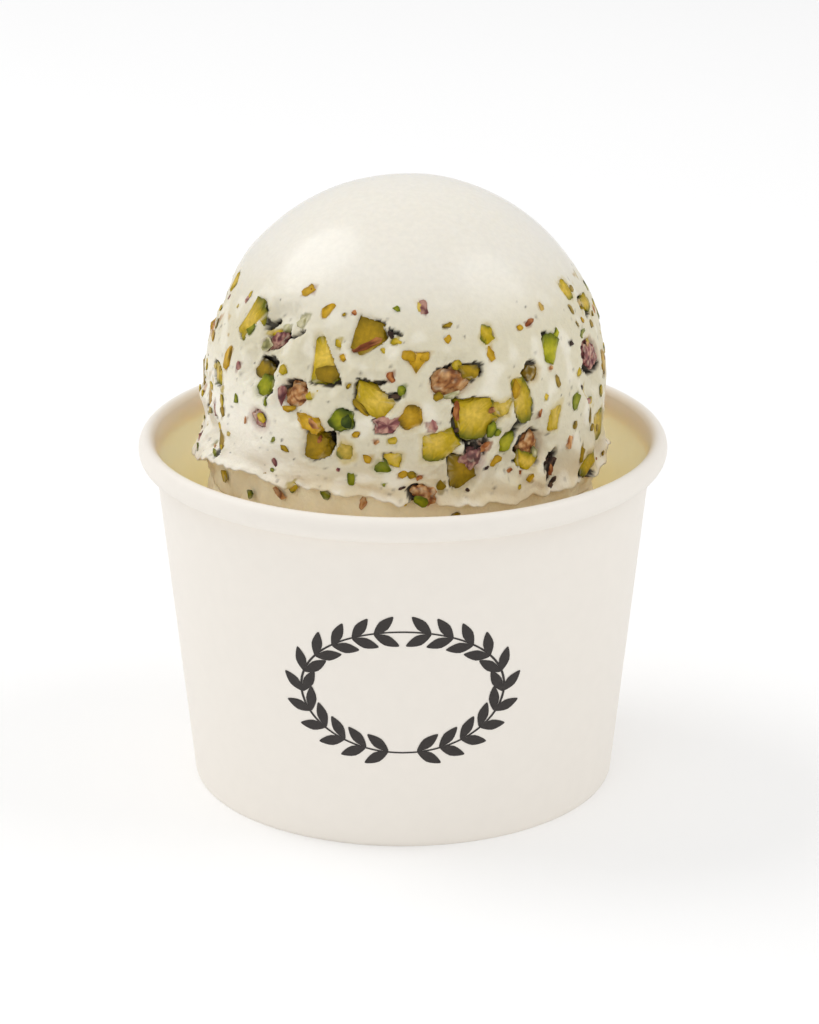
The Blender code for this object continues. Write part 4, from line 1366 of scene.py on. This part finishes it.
class GELATO_OT_first_portion(bpy.types.Operator):
    """Turns the first portion, which fills the cup and carries the scoop"""

    bl_idname = "gelato.first_portion"
    bl_label = "First portion"

    def execute(self, context):
        bed = spun("gelato_first_portion", bed_outline(), BED_COLUMNS)
        split_faces(
            bed,
            lambda centre: centre.z > BED_SHOULDER_HEIGHT - 1 * MM
            and math.hypot(centre.x, centre.y) > BED_TOP_RADIUS * 0.9,
            BED_SPLITS,
        )
        points = read_points(bed)
        level = points * (1, 1, 0)
        reach = np.linalg.norm(level, axis=1)
        out = level / np.maximum(reach, 1e-9)[:, None]
        free = smoothstep(BED_SHOULDER_HEIGHT, BED_NECK_HEIGHT, points[:, 2])
        free *= smoothstep(BED_TOP_RADIUS - 6 * MM, BED_TOP_RADIUS - 2 * MM, reach)
        write_points(bed, points + out * (portion_swell(points) * free)[:, None])
        # painted light: the first portion takes the pale warm portion tone, lifting its shade in the cup
        paint(bed, np.tile(np.array(context.scene.gelato_cream.portion), (len(points), 1)))
        paint_value(bed, "dull", np.ones(len(points)))
        settle(bed, material_of("frozen_milk_cream", frozen_cream), None, ["gelato_bed"])
        return {"FINISHED"}


def cut_kernel(name, facets, detail, cuts):
    """A ball cut flat by each facet in edit mode, with a middle point on every cut face, then split this
    many times each way."""
    deselect()
    bpy.ops.mesh.primitive_ico_sphere_add(subdivisions=detail, radius=1.0)
    kernel = bpy.context.object
    kernel.name = name
    bpy.context.tool_settings.mesh_select_mode = (False, False, True)
    bpy.ops.object.mode_set(mode="EDIT")
    for way, tilt, distance in facets:
        flat = math.cos(tilt)
        normal = Vector((flat * math.cos(way), flat * math.sin(way), math.sin(tilt)))
        bpy.ops.mesh.select_all(action="SELECT")
        bpy.ops.mesh.bisect(plane_co=normal * distance, plane_no=normal, use_fill=True, clear_outer=True)
        kernel.update_from_editmode()
        if kernel.data.total_face_sel < len(kernel.data.polygons):
            bpy.ops.mesh.poke()
    if cuts:
        bpy.ops.mesh.select_all(action="SELECT")
        bpy.ops.mesh.subdivide(number_cuts=cuts)
    bpy.ops.object.mode_set(mode="OBJECT")
    return kernel


def crumpled_lump(name, seed, detail):
    """A ball pushed in and out into lobes, as a granular or crumpled bit of nut."""
    deselect()
    bpy.ops.mesh.primitive_ico_sphere_add(subdivisions=detail, radius=1.0)
    lump = bpy.context.object
    lump.name = name
    points = read_points(lump)
    shift = np.array((seed * 3.7, seed * 1.9, seed * 5.1))
    lobes = 0.42 * ripple(points, 0.9, shift) + 0.22 * ripple(points, 0.4, shift)
    write_points(lump, points * (1 + lobes + 0.1 * ripple(points, 0.18, shift))[:, None])
    return lump


def fit_plan(obj, facets=None):
    """Stores how deep each point lay in the whole kernel, then flattens its upper half and fits the
    piece to a unit plan whose top is at 0."""
    points = read_points(obj)
    paint_value(obj, "depth", np.clip(1 - np.linalg.norm(points, axis=1), 0, 1))
    low, high = points.min(axis=0), points.max(axis=0)
    middle, half = plan_box(facets) if facets else ((low + high)[:2] / 2, (high - low)[:2] / 2)
    points[:, :2] = (points[:, :2] - middle) / half
    points[:, 2] = np.where(points[:, 2] > 0, points[:, 2] * KERNEL_RISE, points[:, 2])
    points[:, 2] -= points[:, 2].max()
    write_points(obj, points)


def random_facets(draw):
    """Facets as a knife leaves them: a wide one that looks out, then three or four round the side."""
    start = draw.uniform(0, FULL_TURN)
    facets = [(start, math.radians(draw.uniform(62, 85)), draw.uniform(0.2, 0.5))]
    count = draw.randint(3, 4)
    for i in range(count):
        way = start + FULL_TURN * (i + draw.uniform(0.1, 0.9)) / count
        facets.append((way, math.radians(draw.uniform(0, 40)), draw.uniform(0.5, 0.85)))
    return facets


def nut_tints(kind, depth, places, draw):
    """Skin outside, flesh inside it and a pale heart, with one piece lighter or darker than the next."""
    skin, flesh, heart = (np.array(srgb(code)) for code in NUT_COLOURS[kind])
    mottle = ripple(places, 1.1 * MM)
    colours = np.tile(flesh, (len(depth), 1))
    if kind in HUSKS:
        fine = ripple(places, 0.6 * MM)
        colours = towards(colours, heart, smoothstep(0.0, 0.4, mottle + fine) * 0.8)
        colours = towards(colours, skin, smoothstep(0.1, 0.5, -mottle - fine) * 0.8)
    else:
        colours = towards(colours, heart, smoothstep(0.3, 0.62, depth + 0.2 * mottle) * 0.9)
        colours = towards(colours, skin, (1 - smoothstep(0.03, 0.16, depth + 0.08 * mottle)) * 0.9)
    return colours * draw.uniform(0.86, 1.06)


def placed_copy(master, bit, lift, draw, cream, proud):
    """A copy of a master piece with its own mesh, seated in the cream and tinted."""
    copy = bpy.data.objects.new(master.name + "_copy", master.data.copy())
    bpy.context.collection.objects.link(copy)
    centre, right, up, outward = bit_frame(bit)
    cos, sin = math.cos(bit.turn), math.sin(bit.turn)
    long_way, cross_way = right * cos + up * sin, up * cos - right * sin
    local = read_points(copy)
    points = (
        centre
        + outward * (lift + proud)
        + np.outer(local[:, 0] * bit.length / 2, long_way)
        + np.outer(local[:, 1] * bit.width / 2, cross_way)
        + np.outer(local[:, 2] * PIECE_THICKNESS * bit.width / 2, outward)
    )
    rim = np.clip(np.hypot(local[:, 0], local[:, 1]), 0, 1)
    ragged = (RAGGED * ripple(points, 1.1 * MM) + 0.6 * RAGGED * ripple(points, 0.5 * MM)) * rim
    points += (np.outer(local[:, 0], long_way) + np.outer(local[:, 1], cross_way)) * ragged[:, None]
    depth = np.empty(len(local), np.float32)
    copy.data.attributes["depth"].data.foreach_get("value", depth)
    tints = nut_tints(bit.kind, depth, points, draw)
    buried = lift - (points - centre) @ outward
    film = (0.15 + 0.2 * max(0.6 - bit.bare, 0)) * MM
    frost = hump(buried, 0.15 * MM, film) * smoothstep(0, 0.4, ripple(points, 0.9 * MM))
    paint(copy, towards(tints, cream, np.maximum(frost * 0.5, max(0.6 - bit.bare, 0) * 0.5)))
    points[:, 2] += float(lip_shift(bit.azimuth, bit.height)[0])
    write_points(copy, points)
    return copy


def join_copies(copies, name, material):
    make_active(copies[0])
    for copy in copies:
        copy.select_set(True)
    bpy.ops.object.join()
    joined = bpy.context.object
    joined.name = joined.data.name = name
    settle(joined, material, NUT_EDGE_ANGLE)


def low_bits(places, draw):
    """Small pieces below the lip."""
    bits = []
    for degrees, height in places.items():
        size = (LOW_NUT_LENGTH * draw.uniform(0.8, 1.2), LOW_NUT_WIDTH, draw.uniform(0, math.pi))
        bits.append(Bit(math.radians(degrees), height * MM, *size, draw.choice(SCATTER_KINDS), 1.0, *PLAIN))
    return bits


class GELATO_OT_pistachios(bpy.types.Operator):
    """Chops the kernels, crumples the skins, and seats every piece in the scoop"""

    bl_idname = "gelato.pistachios"
    bl_label = "Pistachios"

    def execute(self, context):
        look = context.scene.gelato_nuts
        craters = crater_spots()
        cream = np.array(context.scene.gelato_cream.band)
        draw = random.Random(NUT_SEED + 1)
        crumbs = scattered_bits(CRUMB_SEED, look.crumbs, CRUMB_SIZE, 1.2, front=False)
        crumbs += front_spots()
        lumps = [crumpled_lump(f"lump_{i}", i + 1, 4) for i in range(LUMPS)]
        grains = [crumpled_lump(f"grain_{i}", i + 11, 2) for i in range(GRAINS)]
        chips = [cut_kernel(f"chip_{i}", random_facets(draw), 1, 0) for i in range(CHIPS)]
        masters = lumps + grains + chips
        for master in masters:
            fit_plan(master)
        kernels, skins, small = [], [], []
        for bit in nut_bits():
            lift = relief_at(bit, craters)
            proud = look.kernel_proud * bit.bare - SUNK_TOP
            if bit.facets == "lump":
                skins.append(placed_copy(draw.choice(lumps), bit, lift, draw, cream, proud))
                continue
            facets = facet_angles(FACETS[bit.facets], bit.turn)
            kernel = cut_kernel("kernel", facets, 3, 1)
            fit_plan(kernel, facets)
            kernels.append(placed_copy(kernel, bit, lift, draw, cream, proud))
            bpy.data.objects.remove(kernel)
        standing = [(bit, CRUMB_TOP + look.crumb_proud * bit.bare) for bit in crumbs]
        for bit, proud in standing + front_caps():
            master = draw.choice(grains if bit.kind in HUSKS else chips)
            small.append(placed_copy(master, bit, relief_at(bit, craters), draw, cream, proud))
        for places, radius in ((NECK_NUTS, neck_radius() + NECK_SWELL), (BED_NUTS, BED_NECK_RADIUS)):
            for bit in low_bits(places, draw):
                lift = radius + LOW_NUT_PROUD - float(core_radius(bit.height))
                lift += float(portion_swell(bit_frame(bit)[0][None])[0])
                small.append(placed_copy(draw.choice(chips), bit, lift, draw, cream, 0))
        for master in masters:
            bpy.data.objects.remove(master)
        flesh = material_of("chopped_pistachio", nut_flesh, "chopped_pistachio", 0.42, 0.06 * MM)
        skin = material_of("pistachio_seed_skin", nut_flesh, "pistachio_seed_skin", 0.6, 0.16 * MM)
        join_copies(kernels, "pistachio_kernels", flesh)
        join_copies(skins, "pistachio_skins", skin)
        join_copies(small, "pistachio_crumbs", flesh)
        return {"FINISHED"}


def aim(obj, place, target):
    obj.location = place
    obj.rotation_euler = (Vector(target) - Vector(place)).to_track_quat("-Z", "Y").to_euler()


def add_softbox(name, towards_light, distance, size, power):
    light = bpy.data.lights.new(name, "AREA")
    light.shape = "DISK"
    light.size = size
    light.energy = power
    obj = bpy.data.objects.new(name, light)
    bpy.context.collection.objects.link(obj)
    centre = Vector(SCOOP_CENTRE)
    aim(obj, centre + Vector(towards_light).normalized() * distance, centre)


class GELATO_OT_stage(bpy.types.Operator):
    """Sets a white floor, soft boxes, an even sky and the camera"""

    bl_idname = "gelato.stage"
    bl_label = "Stage"

    def execute(self, context):
        light = context.scene.gelato_stage
        deselect()
        bpy.ops.mesh.primitive_plane_add(size=FLOOR_SIZE, location=(0, 0, 0))
        floor = context.object
        floor.name = "studio_floor"
        floor.data.materials.append(studio_floor())
        add_softbox("softbox_left", *SOFTBOXES["left"], light.left_power)
        add_softbox("softbox_right", *SOFTBOXES["right"], light.right_power)
        add_softbox("softbox_front", *SOFTBOXES["front"], light.front_power)
        world = bpy.data.worlds.new("even_sky")
        context.scene.world = world
        world.use_nodes = True
        background = world.node_tree.nodes["Background"]
        background.inputs["Color"].default_value = (1, 1, 1, 1)
        background.inputs["Strength"].default_value = light.sky
        camera = bpy.data.objects.new("camera", bpy.data.cameras.new("camera"))
        context.collection.objects.link(camera)
        camera.data.lens = LENS
        camera.data.sensor_width = SENSOR
        aim(camera, TARGET + view_axes()[2] * VIEW_DISTANCE, TARGET)
        context.scene.camera = camera
        context.scene.view_settings.view_transform = "Standard"  # the picture's white stays white
        return {"FINISHED"}


class GELATO_PT_panel(bpy.types.Panel):
    """Lists the steps that build the cup of gelato"""

    bl_idname = "GELATO_PT_panel"
    bl_label = "Gelato cup"
    bl_space_type = "VIEW_3D"
    bl_region_type = "UI"
    bl_category = "Gelato"

    def draw(self, context):
        scene = context.scene
        for settings in (scene.gelato_cup, scene.gelato_cream, scene.gelato_nuts, scene.gelato_stage):
            box = self.layout.box()
            for name in settings.__annotations__:
                box.prop(settings, name)
        for step in STEPS:
            self.layout.operator(step.bl_idname)


SETTINGS = {
    "gelato_cup": CupSettings,
    "gelato_cream": GelatoSettings,
    "gelato_nuts": NutSettings,
    "gelato_stage": StageSettings,
}
STEPS = (
    GELATO_OT_paper_cup,
    GELATO_OT_cup_floor,
    GELATO_OT_printed_wreath,
    GELATO_OT_pistachios,
    GELATO_OT_scoop,
    GELATO_OT_first_portion,
    GELATO_OT_stage,
)


def register():
    for cls in (*SETTINGS.values(), *STEPS, GELATO_PT_panel):
        bpy.utils.register_class(cls)
    for name, cls in SETTINGS.items():
        setattr(bpy.types.Scene, name, PointerProperty(type=cls))


def unregister():
    for name in SETTINGS:
        delattr(bpy.types.Scene, name)
    for cls in (GELATO_PT_panel, *reversed(STEPS), *SETTINGS.values()):
        bpy.utils.unregister_class(cls)


def main():
    register()
    for step in STEPS:
        group, name = step.bl_idname.split(".")
        getattr(getattr(bpy.ops, group), name)()


if __name__ == "__main__":
    main()
